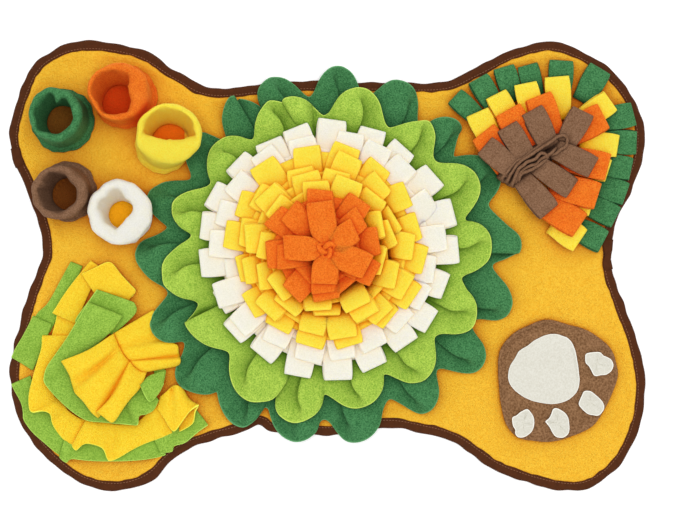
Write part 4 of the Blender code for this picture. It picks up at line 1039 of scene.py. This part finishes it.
def ellipse_point(centre, radii, turn, bearing, extra=0.0):
    angle = math.radians(bearing - turn)
    across = (radii[0] + extra) * math.cos(angle)
    up = (radii[1] + extra) * math.sin(angle)
    spin = math.radians(turn)
    return Vector((centre[0] + across * math.cos(spin) - up * math.sin(spin),
                   centre[1] + across * math.sin(spin) + up * math.cos(spin), 0.0))


def make_cup(foot, foot_radius, floor, floor_radius, rim, rim_radii, mouth, mouth_radii, turn, height,
             creases, seed):
    """The cup's cloth, and the mean width of the band that it was cut from (mm)."""
    columns = []
    for k in range(CUP_COLUMNS):
        bearing = 360 * k / CUP_COLUMNS
        push = 0.0
        for crease, inward, width in creases:
            away = ((bearing - crease + 180) % 360 - 180) / width
            push += inward * math.exp(-away * away)
        column = []
        for across, up in CUP_SECTION:
            outer = ellipse_point(foot, (foot_radius, foot_radius), 0, bearing).lerp(
                ellipse_point(rim, rim_radii, 0, bearing, -0.25 * push), ease(up * WALL_EASE))
            inner = ellipse_point(floor, (floor_radius, floor_radius), 0, bearing).lerp(
                ellipse_point(mouth, mouth_radii, turn, bearing, -push), ease(up * WALL_EASE))
            inward = (inner - outer).normalized()
            point = outer.lerp(inner, across) if across > 0 else outer + inward * across * CUP_FLANGE
            place = Vector((point.x, point.y, up * height))
            soft = (FOOT_WAVE + RIM_WAVE * up) * ripple(place, WALL_WAVE_PITCH, seed)
            soft += WALL_CRINKLE * up * ripple(place, WALL_CRINKLE_PITCH, seed + 9)
            spread = FLANGE_SPREAD * ripple(place, FLANGE_SPREAD_PITCH, seed + 12) if across < -0.1 else 0.0
            point -= inward * (soft + spread)
            flange = max(0.0, 1 - up / FLANGE_TOP) * ripple(point, FLANGE_WAVE_PITCH, seed + 3)
            z = DECK + height * up - CREASE_SINK * push * ease(up) + flange
            z += RIM_WAVER * ease(up) * ripple(Vector((point.x, point.y, 0)), RIM_WAVER_PITCH, seed + 6)
            column.append(point + Vector((0, 0, max(DECK - 0.2, z))))
        columns.append(column)
    cup = bmesh.new()
    rings = add_rows(cup, [list(ring) for ring in zip(*columns)])
    join_rows(cup, rings, closed=True)
    cut_widths = [sum((b - a).length for a, b in zip(column, column[1:])) for column in columns]
    return cup, sum(cut_widths) / CUP_COLUMNS


brown_fleece = fleece("brown_fleece", BROWN, BROWN_SHADE, painted_shade=BROWN_PAINTED_SHADE)
# painted shade: the mat's cloth inside a cup is painted a deep shade of its colour, standing in for
# the dim light that reaches it by way of the cup's wall
CUP_FLOOR_PAINTED_SHADES = {"cup_green": "#58330c", "cup_orange": "#d42c02", "cup_yellow": "#f06c04",
              "cup_brown": "#5a260a", "cup_white": "#ffb612"}
SHADE_SHARE = 0.85
SHADE_MARGIN = 8                        # mm past the foot's radius, beyond which nothing is shaded
mat_piece.data.attributes.new("cup_floor_painted_shade", "FLOAT_VECTOR", "POINT")
mat_piece.data.attributes.new("in_cup", "FLOAT", "POINT")
# read back by name, because making one attribute moves those made before it
cup_floor_painted_shade = mat_piece.data.attributes["cup_floor_painted_shade"].data
in_cup = mat_piece.data.attributes["in_cup"].data
for cup_name, (foot, foot_radius, floor, floor_radius, *above) in CUPS.items():
    for vert in mat_piece.data.vertices:
        away = (vert.co.xy / MM - Vector(floor)).length
        if away < foot_radius + SHADE_MARGIN:
            share = SHADE_SHARE * (1 - ease((away - floor_radius) / (foot_radius - floor_radius)))
            if share >= in_cup[vert.index].value:
                cup_floor_painted_shade[vert.index].vector = linear(CUP_FLOOR_PAINTED_SHADES[cup_name])[:3]
                in_cup[vert.index].value = share
# the gold's colour is mixed towards that painted shade, by how far inside a cup it lies
gold_shader = gold_fleece.node_tree.nodes["Principled BSDF"]
open_gold = gold_shader.inputs["Base Color"].links[0].from_socket
shade_colour = add_node(gold_fleece.node_tree, "ShaderNodeAttribute", attribute_name="cup_floor_painted_shade")
shade_share = add_node(gold_fleece.node_tree, "ShaderNodeAttribute", attribute_name="in_cup")
shaded_gold = add_node(gold_fleece.node_tree, "ShaderNodeMix",
                       {0: shade_share.outputs["Fac"], 6: open_gold, 7: shade_colour.outputs["Color"]},
                       data_type="RGBA")
gold_fleece.node_tree.links.new(shaded_gold.outputs[2], gold_shader.inputs["Base Color"])
CUP_CLOTHS = {"cup_green": dark_green_fleece, "cup_orange": orange_fleece, "cup_yellow": yellow_fleece,
              "cup_brown": brown_fleece, "cup_white": white_fleece}
for number, (cup_name, sizes) in enumerate(CUPS.items()):
    cup_mesh, cut_width = make_cup(*sizes, seed=11.0 * number)
    cup_piece = cloth_object(cup_name + "_cloth", cup_mesh, CUP_CLOTHS[cup_name],
                             thickness=CUP_CLOTH, smooth_levels=1)
    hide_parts(cup_name)


# ================================================================ fan
# Four strips of slit loops sewn down in horseshoes, one inside and over another: green outside, then
# yellow, orange and brown.
FAN_ROOT_NARROWING = 0.84
FAN_GAP_TIP = 4.8
# each strip: seam height, tip height, loop width, then each loop's tip x and y, heading and length, and
# its own width where that differs
FAN_STRIPS = {
    "fan_green": (5.5, 11.0, 26.5, dark_green_fleece, (
        (140, 186, 137, 38, 23), (165.5, 205.5, 120, 38, 24), (193.5, 218, 107, 38, 24),
        (219, 220, 104, 38, 24), (256.5, 225, 88, 40), (299, 216, 60, 40), (335, 166.5, 12, 38),
        (338, 134.5, 357, 38), (332.5, 106.5, 351, 38), (327, 79, 342, 38), (316, 53.5, 335, 38),
        (302.5, 27, 332, 38))),
    "fan_yellow": (8.0, 16.5, 27.5, yellow_fleece, (
        (163.5, 167.5, 117, 40), (184.5, 187.5, 119, 40), (216, 199, 104, 42), (250.5, 206.5, 95, 46),
        (309.5, 180, 34, 42), (317, 131, 353, 40), (306.5, 104, 345, 36), (289, 66.5, 340, 32),
        (276, 28, 326, 34, 32))),
    "fan_orange": (13.0, 22.0, 32, orange_fleece, (
        (170.3, 145.5, 124, 46), (196.8, 169.6, 116, 48), (230, 184.7, 110, 48), (300.5, 164, 29, 46),
        (305.2, 107.6, 348, 50), (294, 76.4, 346, 52), (275.3, 44.7, 329, 52))),
    "fan_brown": (20.0, 27.5, 26.5, brown_fleece, (
        (171.5, 130.5, 139, 42), (195.5, 151.5, 122, 42), (222.5, 169, 116, 44), (278, 167.5, 61, 40),
        (288, 106.5, 333, 46), (265, 83.5, 325, 47), (241, 59.5, 310, 47))),
}
for strip_number, (strip_name, strip) in enumerate(FAN_STRIPS.items()):
    seam_height, tip_height, loop_width, cloth, tips = strip
    chance = random.Random(70 + strip_number)
    strip_mesh = bmesh.new()
    for x, y, heading, reach, *own_width in tips:
        width = own_width[0] if own_width else loop_width
        tip = Vector((x, y, 0.0))
        add_loop(strip_mesh, tip - direction(heading) * reach, direction(heading - 90),
                             width * FAN_ROOT_NARROWING, tip, direction(heading), width,
                             tip_height + chance.uniform(-1.2, 1.2),
                             seam_height, chance, FAN_GAP_TIP)
    strip_piece = cloth_object(strip_name + "_cloth", strip_mesh, cloth,
                               thickness=LOOP_CLOTH, smooth_levels=1)
    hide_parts(strip_name)


# ================================================================ fan's ridge
# Where the fan's strips meet, the brown fleece is gathered on its seam: its layers stand on edge in
# wavy lines, and one turns back round the end.
STRAND_THICKNESS = 4.0
STRAND_FOOT = 5.0
STRAND_END_DROP, STRAND_END_STEPS = 7.0, 2.5
STRAND_WAVE, STRAND_WAVE_PITCH = 1.2, 8.0
STRAND_WEAVE, STRAND_WEAVE_PITCH = 1.2, 6.0
# each layer: height of its top, then x and y along it
RIDGE_STRANDS = (
    (32.0, ((194.3, 90), (205.4, 109.3), (221, 120.6), (237, 131.6), (251.2, 140.4), (257, 141),
            (261, 136.6), (258.5, 130.6), (250.4, 124.6), (241.4, 118.6))),
    (33.0, ((199.6, 86.6), (206.6, 103), (215.2, 111.6), (224.9, 115.8), (231.2, 122),
            (236.9, 120.5), (239.5, 115.5))),
    (31.8, ((207, 91), (210.3, 98.8), (217.8, 103.2), (224.1, 106.4), (230.4, 109.6),
            (235.2, 114.2), (239.1, 119.8))),
    (29.5, ((188.1, 93.8), (194, 100.6), (203.6, 112), (214.6, 118.6), (228.5, 129.4),
            (246, 140))),
    (31.2, ((203.5, 88.8), (208.5, 100.4), (217, 107.2), (226, 111), (233, 116.8), (243, 122.8),
            (250.8, 131))),
)


ridge_mesh = bmesh.new()
for number, (top_height, places) in enumerate(RIDGE_STRANDS):
    line = smooth_line([Vector((x, y, 0.0)) for x, y in places], 6)
    rows = []
    for k, point in enumerate(line):
        along = (line[min(k + 1, len(line) - 1)] - line[max(k - 1, 0)]).normalized()
        side = Vector((-along.y, along.x, 0.0)) * STRAND_THICKNESS / 2
        end = min(k, len(line) - 1 - k)
        top = top_height - STRAND_END_DROP * math.exp(-end / STRAND_END_STEPS)
        top += STRAND_WAVE * ripple(point, STRAND_WAVE_PITCH, number * 3.0)
        weave = side.normalized() * STRAND_WEAVE * ripple(point, STRAND_WEAVE_PITCH, 20 + number * 5.0)
        flank = ((3.2, STRAND_FOOT), (2.6, 20.0), (1.1, 24.0), (1.0, top - 2), (0.72, top - 0.5))
        section = (*flank, (0.0, top), *((-across, z) for across, z in reversed(flank)))
        rows.append([point + weave + side * across + Vector((0, 0, z)) for across, z in section])
    strand = add_rows(ridge_mesh, rows)
    join_rows(ridge_mesh, strand, closed=True)
    ridge_mesh.faces.new(strand[0])
    ridge_mesh.faces.new(strand[-1])
ridge_piece = cloth_object("fan_ridge_cloth", ridge_mesh, brown_fleece,
                           smooth_levels=1)
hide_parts("fan_ridge")


# ================================================================ heap of leaves
# Strips of light green and yellow fleece, pleated by hand and sewn down along their inner edges one
# over another, so that the outer edges stand off in waves. The top one is sewn across its middle.
LEAF_GREEN = "#a0c74e"
LEAF_GREEN_SHADE = "#76a032"
LEAF_YELLOW = "#fbd838"
LEAF_YELLOW_SHADE = "#f4c020"
# painted shade: each leaf colour is deepened towards these in its folds and under the laps
LEAF_PAINTED_SHADE = {"green": "#6f9a28", "yellow": "#f0a000"}
LEAF_THICKNESS = 2.0
LEAF_WAVE, LEAF_WAVE_PITCH = 0.9, 14.0  # mm at the outer edge
# the leaves are marked out on the same plan as the petals, x to the right and y down
PLAN_STEP = 1.1024                      # mm for each step of the plan, at the height of the table
PLAN_MIDDLE = (327.5, 266.0)            # where the mat's middle is on the plan
# each leaf, one fold or wave after another: x, y and height of its outer edge, then of its inner edge,
# and the height half-way. Where the places turn back, the strip laps over itself.
LEAVES = {
    "leaf_green_strip": ("green", (
        (71, 261, 5.5, 83, 266, 4.3, 5), (60, 281, 6, 77, 279, 4.3, 5.8), (48, 303, 5.8, 68, 297, 4.3, 5.2),
        (38, 312, 5, 60, 312, 4.3, 5), (30, 324, 4.6, 50, 333, 4.2, 4.6),
        (33, 315.5, 7.2, 52, 324, 6.4, 7.2), (29, 324, 8.6, 50, 330, 8, 9), (22, 337, 8, 45, 343, 6.6, 7.6),
        (15, 349, 8.5, 39, 357, 5.6, 7), (11, 357.5, 8.8, 33, 371, 5, 6.2))),
    "leaf_yellow_low": ("yellow", (
        (91, 260, 9, 101, 267, 7, 8.5), (77, 277, 9.5, 93, 285, 7, 9.5), (64, 294, 10, 86, 300, 7, 10),
        (56, 307, 11.5, 81, 313, 8, 11), (52, 313, 11.5, 78, 325, 9, 11.5), (58, 306, 8, 82, 315, 7, 8.2),
        (55, 323, 7.4, 76, 328, 6.4, 7), (48, 345, 6.6, 70, 344, 6, 6.4), (42, 335, 9.6, 71, 335, 9, 9.8),
        (41.5, 347, 12, 66, 347, 9, 11.6), (37, 362, 12.5, 60, 362, 8, 12), (32, 380, 13, 55, 378, 8, 13),
        (28.5, 396, 15, 54, 391, 8, 14.5), (30, 412, 17, 55, 397, 8, 13), (41, 411, 19, 60, 400, 8, 16),
        (50, 414, 17, 64, 405, 8, 14), (52, 424, 11, 68, 410, 8, 9.5), (60, 436, 9, 73, 414, 8, 9),
        (70, 445, 9.5, 80, 418, 8, 11), (80, 447, 7, 88, 420, 6.6, 7.5), (72, 445, 12.5, 86, 420, 11, 13),
        (76, 451, 16.5, 90, 421, 12, 15), (84, 444, 15.5, 95, 421, 10, 14.5),
        (96, 445.5, 15, 102, 422, 9, 13), (104, 450, 12, 110, 423, 8, 9.5),
        (108, 461, 10.5, 116, 424, 8, 8), (118, 458.5, 11, 121, 424, 8, 11.5),
        (132, 450, 10, 130, 423, 7, 11), (148, 442.5, 9, 140, 420, 7, 10),
        (163, 437.5, 8.8, 150, 409, 7, 9.5), (173, 433, 8, 158, 400, 7, 8.5))),
    "leaf_yellow_tab": ("yellow", (
        (81, 274, 14, 95, 294, 9, 13.5), (96, 267, 14.5, 104, 297, 9, 14),
        (110, 261.5, 12.5, 113, 299, 7, 13), (120, 273, 12, 119, 299, 6, 12),
        (131, 285, 11.5, 122, 299, 6.5, 9.5), (136, 291, 10, 125, 301, 5.5, 8.5),
        (131, 297, 7, 125, 303, 4.6, 5.5))),
    "leaf_green_mid": ("green", (
        (97, 289, 15.5, 134, 302, 15, 12.5), (87, 303, 13, 137, 312, 14, 13),
        (76.5, 317, 12, 122, 327, 11, 12), (76, 322, 11, 112, 335, 9, 10.5),
        (88, 302, 18.5, 123, 316, 18, 20), (84, 309, 21, 119, 322, 19, 21), (76, 322, 20, 112, 331, 16, 20),
        (66, 339, 19, 100, 342, 12, 19), (54, 356, 19, 88, 352, 11, 18), (46, 368, 19, 78, 362, 11, 17),
        (43.5, 379, 20, 72, 370, 11, 14.5), (45.5, 385, 20.5, 73, 374, 11, 17),
        (53, 394, 19.5, 77, 380, 11, 17), (64, 405, 18.5, 84, 388, 11, 16.5),
        (75, 414, 18, 92, 396, 11, 16), (88, 421, 17.5, 102, 402, 11, 15),
        (104, 422.5, 16.5, 112, 404, 11, 15), (120, 424, 16.5, 119, 403, 11, 14),
        (131, 425, 15.5, 123, 402, 11, 11.5), (138, 425, 20, 126, 398, 14, 18),
        (139, 416, 18, 132, 393, 13, 17), (146, 414.5, 14.5, 138, 390, 11, 14),
        (154, 410, 12.5, 143, 386, 10, 13), (159, 400, 11, 147, 382, 9, 11))),
    "leaf_green_end": ("green", (
        (140, 385, 20, 147, 378, 15, 19), (143, 392, 23, 151, 375, 15, 20),
        (149, 402, 22, 156, 373, 14, 20), (156, 397, 19, 161, 371.5, 13, 17),
        (162, 388, 16, 165, 371, 13, 14), (163, 378, 12, 164, 369, 9, 10),
        (155, 376, 8, 153, 368, 7.5, 8))),
    "leaf_yellow_end": ("yellow", (
        (157, 408, 10, 160, 397, 10, 10), (164, 418, 13.5, 168, 390, 17, 14),
        (173, 432, 18, 172, 386, 11, 15), (180, 425, 19, 177, 385, 17, 18),
        (187, 415, 20, 183, 389, 11, 18), (192, 409.5, 19, 187, 397, 10, 15),
        (199, 405, 19, 191, 402, 9, 14), (195, 412, 14, 188, 405, 7.5, 11),
        (193, 424, 12, 182, 412, 6.6, 10), (179, 432, 11, 178, 420, 6.4, 8))),
    "leaf_green_low": ("green", (
        (11, 384, 9.5, 31, 375, 5, 7), (15, 392, 8.4, 33, 385, 5, 6.5), (21, 403, 8.4, 38, 395, 5, 7),
        (23, 413, 10.5, 44, 403, 5, 7.6), (23.5, 420, 8.6, 50, 409, 5, 6.4),
        (32, 432, 9.2, 56, 416, 5, 7.2), (43, 442, 8.6, 63, 424, 5, 6.8), (56, 453, 7.6, 70, 430, 5, 6.6),
        (65, 458, 5.4, 76, 434, 4.4, 5.2), (59, 457, 9.6, 66, 431, 7.6, 9),
        (66, 463, 13, 74, 434, 6.4, 10.5), (71, 459, 11, 82, 436, 5.4, 8), (85, 460.5, 9.4, 92, 437, 5, 7),
        (105, 461.5, 8.6, 108, 438, 5, 6.6), (130, 461, 8.8, 128, 436, 5, 7),
        (150, 459, 8.2, 146, 432, 5, 6.6), (166, 455, 5.6, 160, 432, 4.4, 5.4),
        (160, 453, 9.8, 153, 439, 8, 9.4), (172, 452, 13, 166, 430, 6.4, 10.5),
        (174, 446, 10.4, 174, 424, 5.4, 8), (185, 443, 9, 180, 415, 5, 7), (197, 433, 8.6, 184, 408, 5, 7),
        (208.5, 425, 10, 190, 401, 5, 7))),
}
# the top leaf, a row for each fold: left end, a place on the way, the seam, and the right end
TOP_LEAF = (
    ((60, 361, 24), (88, 350, 21), (114, 333, 10), (154, 309, 6)),
    ((64, 367, 23.5), (93, 356, 24.5), (116, 338, 10.5), (158, 320, 6.5)),
    ((69, 376, 22.5), (97, 361, 25.5), (118, 343, 10.5), (162, 330, 7)),
    ((72, 387, 18.5), (99, 366, 18.5), (120, 347, 8.5), (167, 337, 5.5)),
    ((75, 394, 25.5), (98, 374, 26.5), (122, 351, 11), (171, 342, 12)),
    ((83, 402, 27), (104, 380, 28), (125, 356, 11), (178, 345, 12.5)),
    ((91, 413, 25), (110, 386, 25), (128, 359, 10), (179, 352, 10)),
    ((99, 419, 18.5), (113, 392, 17.5), (130, 361, 8), (180, 356, 5.5)),
    ((96, 412, 26), (115, 394, 26.5), (131, 362, 10.5), (181, 359, 12)),
    ((104, 418, 28), (120, 398, 28.5), (134, 366, 11), (181, 361, 12.5)),
    ((114, 423, 26), (128, 395, 25), (141, 371, 10), (180, 364, 10)),
    ((123, 401, 21), (140, 389, 18), (148, 371, 8), (176, 366, 7)),
)


def plan_place(right, down, height):
    """Where a mark on the plan lies, to a tenth of a mm: what is higher looks further out to the camera."""
    nearer = 1 - height / CAMERA_PLACE[2]
    x = CAMERA_PLACE[0] + ((right - PLAN_MIDDLE[0]) * PLAN_STEP - CAMERA_PLACE[0]) * nearer
    y = CAMERA_PLACE[1] + ((PLAN_MIDDLE[1] - down) * PLAN_STEP - CAMERA_PLACE[1]) * nearer
    return Vector((round(x, 1), round(y, 1), height))


def on_plan(marks, height):
    """Marks seen at one height, as places laid down to height 0."""
    return [Vector((*plan_place(right, down, height).xy, 0.0)) for right, down in marks]


def smooth_sheet(rows, steps):
    """A finer net of points through a coarse one."""
    fine = [smooth_line(row, steps) for row in rows]
    return [smooth_line(list(column), steps) for column in zip(*fine)]


def strip_cut(builder, columns):
    """What a strip would measure laid flat: length and width (m) and area (m2), from its own net."""
    def run_length(verts):
        return sum((b.co - a.co).length for a, b in zip(verts, verts[1:]))

    length = max(run_length(column) for column in columns)
    width = max(run_length(row) for row in zip(*columns))
    area = sum(face.calc_area() for face in builder.faces)
    return MM * length, MM * width, MM * MM * area


def make_leaf(folds, seed):
    """A pleated strip, and the length, width (m) and area (m2) of its cut."""
    rows = []
    for outer_right, outer_down, outer_z, inner_right, inner_down, inner_z, middle_z in folds:
        inner = plan_place(inner_right, inner_down, inner_z)
        outer = plan_place(outer_right, outer_down, outer_z)
        near = inner.lerp(outer, 0.25)
        far = inner.lerp(outer, 0.62)
        near.z = mix(inner_z, middle_z, 0.6)
        far.z = middle_z
        rows.append([inner, near, far, outer])
    leaf = bmesh.new()
    cut_edge = leaf.verts.layers.float.new("cut_edge")
    columns = smooth_sheet(rows, 3)
    for i, column in enumerate(columns):
        for point in column:
            point.z += LEAF_WAVE * i / len(columns) * ripple(point, LEAF_WAVE_PITCH, seed)
    columns.insert(-1, [a.lerp(b, 0.75) for a, b in zip(columns[-2], columns[-1])])
    columns = add_rows(leaf, columns)
    join_rows(leaf, columns)
    for vert in columns[-1]:
        vert[cut_edge] = 1.0
    return leaf, strip_cut(leaf, columns)


LEAF_CLOTHS = {"green": fleece("leaf_green_fleece", LEAF_GREEN, LEAF_GREEN_SHADE,
                               painted_shade=LEAF_PAINTED_SHADE["green"]),
               "yellow": fleece("leaf_yellow_fleece", LEAF_YELLOW, LEAF_YELLOW_SHADE,
                                painted_shade=LEAF_PAINTED_SHADE["yellow"], glow=0.3)}
for number, (leaf_name, (colour, folds)) in enumerate(LEAVES.items()):
    leaf, (cut_length, cut_width, cut_area) = make_leaf(folds, 31.0 + number)
    leaf_piece = cloth_object(leaf_name + "_cloth", leaf, LEAF_CLOTHS[colour],
                              thickness=LEAF_THICKNESS, smooth_levels=1)
    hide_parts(leaf_name)

top_rows = []
for fold in TOP_LEAF:
    left, bulge, seam, right = (plan_place(*mark) for mark in fold)
    shoulder = seam.lerp(bulge, 0.14) + Vector((0, 0, 4.5))
    rise = seam.lerp(right, 0.1) + Vector((0, 0, 4.0))
    lie = seam.lerp(right, 0.6) + Vector((0, 0, 2.0))
    top_rows.append([left, bulge, shoulder, seam, rise, lie, right])
top_leaf = bmesh.new()
top_columns = add_rows(top_leaf, smooth_sheet(top_rows, 3))
join_rows(top_leaf, top_columns)
top_length, top_width, top_area = strip_cut(top_leaf, top_columns)
top_piece = cloth_object("leaf_yellow_top_cloth", top_leaf, LEAF_CLOTHS["yellow"],
                         thickness=LEAF_THICKNESS, smooth_levels=1)
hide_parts("leaf_yellow_top")
SEAM_THREAD = "#d4880e"
SEAM_PITCH, SEAM_STITCH, SEAM_RADIUS = 3.4, 2.6, 0.5
leaf_seam = smooth_line([plan_place(*fold[2]) + Vector((0, 0, 1.0)) for fold in TOP_LEAF], 3)
sew("leaf_seam", [leaf_seam], SEAM_PITCH, SEAM_STITCH, SEAM_RADIUS, thread("gold_thread", SEAM_THREAD),
    closed=False)


# ================================================================ paw print
# A brown patch of fleece with its edge turned under and sewn, a flat pad of white felt on it, and four
# toes: cut ovals of the felt caught down by a stitch in the middle, so their edges stand up.
PATCH_BROWN = "#98714f"
PATCH_BROWN_SHADE = "#6c4a2c"
FELT_WHITE = "#d9d7cc"
FELT_SHADE = "#cdcabd"
# the outlines are marked out on the leaves' plan, and the centres of the patch and the pad are in mm
PATCH_OUTLINE = (
    (540, 322.5), (550, 321.5), (560, 324), (570, 327), (580, 329.5), (590, 334), (600, 341), (607, 347),
    (612, 355), (614, 363), (616, 372), (615, 380), (611, 391), (606, 402), (600, 413), (592, 424),
    (582, 430), (572, 434), (560, 438), (548, 440), (535, 439), (520, 436.5), (514, 432), (508, 424),
    (505, 415), (502, 400), (501, 388), (500, 375), (500, 360), (502, 350), (508, 341), (517, 333),
    (527, 328),
)
PATCH_SEEN = 7.0                        # mm, the height at which each outline is seen
PAD_SEEN = 10.6
TOE_SEEN, TOE_MIDDLE_SEEN = 12.5, 11.0
PATCH_CENTRE = (252.0, -127.0)
# the patch's section: distance in from its edge, height, and how much of it is the hem's groove
PATCH_SECTION = ((1.2, 3.5, 0.0), (0.3, 4.3, 0.0), (0.0, 5.4, 0.0), (0.8, 6.9, 0.0), (2.6, 8.0, 0.0),
                 (5.0, 8.6, -0.4), (7.2, 8.6, -0.2), (8.6, 8.6, 1.8), (9.8, 8.6, 2.2), (11.2, 8.7, 1.0),
                 (13.5, 8.8, 0.0), (22.0, 9.0, 0.0), (34.0, 9.4, 0.0), (48.0, 9.6, 0.0))
PATCH_STATIONS = 120
PATCH_TOP, PATCH_FOOT = 9.7, 3.5
GROOVE_SIDE = 145.0                     # bearing of the side where the groove is deepest
PAD_OUTLINE = (
    (547, 334.5), (556, 334), (563, 336), (568, 338), (572, 343), (575, 350), (577, 360), (578.5, 370),
    (579.5, 380), (578.5, 388), (575, 394), (568, 400), (560, 403), (552, 404), (542, 403), (530, 400),
    (520, 394.5), (513, 388.5), (509, 382), (508, 375), (510, 366), (515, 358), (519, 351), (527, 346),
    (534, 340.5), (540, 337.5),
)
PAD_CENTRE = (240.0, -114.0)
PAD_STATIONS = 96
PAD_HEIGHT = 10.6
PAD_FELT, TOE_FELT = 1.6, 1.4           # thickness
# where the crease along the pad's edge is seen from, and the bearing at which it is deepest
PAD_CREASE_FROM, PAD_CREASE_SIDE = (240, -110), 8
TOE_STATIONS = 60
TOE_CENTRE_HEIGHT = 9.4
TOE_FOOT, TOE_RISE = 9.8, 4.4           # height at its middle, and how far its edge stands above that
TOE_DENT, TOE_DENT_WIDTH = 4.6, 9       # mm and degrees
PAD_RINGS = (1.0, 0.975, 0.94, 0.9, 0.84, 0.75, 0.6, 0.42, 0.22)
TOE_RINGS = (1.0, 0.95, 0.85, 0.7, 0.5, 0.3, 0.14)
# each toe: middle, outline, and the bearings of the creases that meet in its middle
TOES = {
    "paw_toe_1": ((597, 363.5), (
        (585, 356), (586, 353.5), (590, 352.5), (596, 352), (600.5, 352.5), (603, 355.5), (607, 357),
        (611, 359.5), (613, 363.5), (613, 367), (611, 371), (606, 374.5), (601, 375), (595, 376),
        (592.5, 373), (590.5, 369), (588.5, 365.5), (585.5, 362.5)),
        (88, 265, 345)),
    "paw_toe_2": ((590, 402), (
        (584, 391), (590, 391), (595, 394.5), (600, 399), (603, 403), (604, 407.5), (602, 412),
        (598, 415.5), (593, 415), (588, 414), (583, 410), (579.5, 406), (578.5, 403.5), (580, 399),
        (582, 395)),
        (88, 230, 320)),
    "paw_toe_3": ((558.5, 423), (
        (553, 409), (556, 408), (560, 409.5), (565, 413), (568, 418), (569, 424), (569, 431), (567, 435),
        (563, 437.5), (559, 437.5), (555, 436), (552, 432), (549.5, 427), (546, 422.5), (545, 421.5),
        (549, 418), (551.5, 413)),
        (103, 175, 300)),
    "paw_toe_4": ((523.5, 423), (
        (527, 409), (530, 411.5), (533, 416), (534, 421), (533.5, 427), (531, 432), (526, 436),
        (521, 437.5), (517, 436.5), (515, 433), (515.5, 430), (513, 426), (512, 420), (512.5, 417),
        (516, 415.5), (521, 411.5)),
        (75, 268, 350)),
}


def close_middle(mesh_builder, ring, point):
    middle = mesh_builder.verts.new(point)
    for a, b in zip(ring, ring[1:] + ring[:1]):
        mesh_builder.faces.new((a, b, middle))


def felt_shape(rows, middle):
    """Felt from its cut edge, the first row of points, in to its middle."""
    felt = bmesh.new()
    cut_edge = felt.verts.layers.float.new("cut_edge")
    rings = add_rows(felt, rows)
    for vert in rings[0]:
        vert[cut_edge] = 1.0
    join_rows(felt, rings, closed=True)
    close_middle(felt, rings[-1], middle)
    return felt


patch_stations = smooth_loop(on_plan(reversed(PATCH_OUTLINE), PATCH_SEEN), PATCH_STATIONS)
patch_normals = [-n for n in inward_normals(patch_stations)]
patch_middle = Vector((*PATCH_CENTRE, 0.0))
patch_rows = []
for inset, level, groove in PATCH_SECTION:
    ring = []
    for p, n in zip(patch_stations, patch_normals):
        facing = direction(GROOVE_SIDE).dot((p - patch_middle).normalized())
        height = level - groove * (0.3 + 0.7 * max(0.0, facing))
        far = (patch_middle - p).length
        point = p + n * min(inset, 3.0) + (patch_middle - p) * max(0.0, inset - 3.0) / far
        ring.append(point + Vector((0, 0, height + (0.35 * ripple(p, 12.0, 2.0) if height > 4 else 0))))
    patch_rows.append(ring)
patch = bmesh.new()
patch_rings = add_rows(patch, patch_rows)
join_rows(patch, patch_rings, closed=True)
close_middle(patch, patch_rings[-1], (*PATCH_CENTRE, PATCH_TOP))
close_middle(patch, patch_rings[0], (*PATCH_CENTRE, PATCH_FOOT))
patch_fleece = fleece("patch_fleece", PATCH_BROWN, PATCH_BROWN_SHADE, tuft=2.0)
patch_piece = cloth_object("paw_patch_cloth", patch, patch_fleece, smooth_levels=1)
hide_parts("paw_patch")

white_felt = fleece("white_felt", FELT_WHITE, FELT_SHADE, tuft=1.8, nap=20.0, depth=0.2, sheen=0.1)
pad_stations = smooth_loop(on_plan(PAD_OUTLINE, PAD_SEEN), PAD_STATIONS)
pad_middle = Vector((*PAD_CENTRE, 0.0))
pad_rows = []
for share in PAD_RINGS:
    ring = []
    for p in pad_stations:
        point = pad_middle.lerp(p, share * (1 + 0.008 * ripple(p, 3.5, 4.0)))
        bearing = math.degrees(math.atan2(p.y - PAD_CREASE_FROM[1], p.x - PAD_CREASE_FROM[0]))
        crease = max(0.0, math.cos(math.radians(bearing - PAD_CREASE_SIDE))) ** 3
        curl = crease * (1.6 * ease((share - 0.9) / 0.08) - 0.7 * math.exp(-((share - 0.9) / 0.025) ** 2))
        ring.append(point + Vector((0, 0, PAD_HEIGHT + curl + 0.25 * ripple(point, 15.0, 6.0))))
    pad_rows.append(ring)
pad_piece = cloth_object("paw_pad_felt", felt_shape(pad_rows, (*PAD_CENTRE, PAD_HEIGHT)), white_felt,
                         thickness=PAD_FELT, smooth_levels=1)
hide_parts("paw_pad")

for number, (toe_name, (middle, outline, creases)) in enumerate(TOES.items()):
    toe_middle = on_plan([middle], TOE_MIDDLE_SEEN)[0]
    toe_rows = []
    for share in TOE_RINGS:
        ring = []
        for p in smooth_loop(on_plan(outline, TOE_SEEN), TOE_STATIONS):
            bearing = math.degrees(math.atan2(p.y - toe_middle.y, p.x - toe_middle.x))
            dent = sum(math.exp(-(((bearing - crease + 180) % 360 - 180) / TOE_DENT_WIDTH) ** 2)
                       for crease in creases)
            height = TOE_FOOT + TOE_RISE * share ** 1.2 - TOE_DENT * dent * share * (1.15 - share)
            ring.append(toe_middle.lerp(p, share) + Vector((0, 0, height + 0.4 * ripple(p, 6.0, number))))
        toe_rows.append(ring)
    toe_piece = cloth_object(toe_name + "_felt", felt_shape(toe_rows, (*toe_middle.xy, TOE_CENTRE_HEIGHT)),
                             white_felt, thickness=TOE_FELT, smooth_levels=1)
    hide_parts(toe_name)
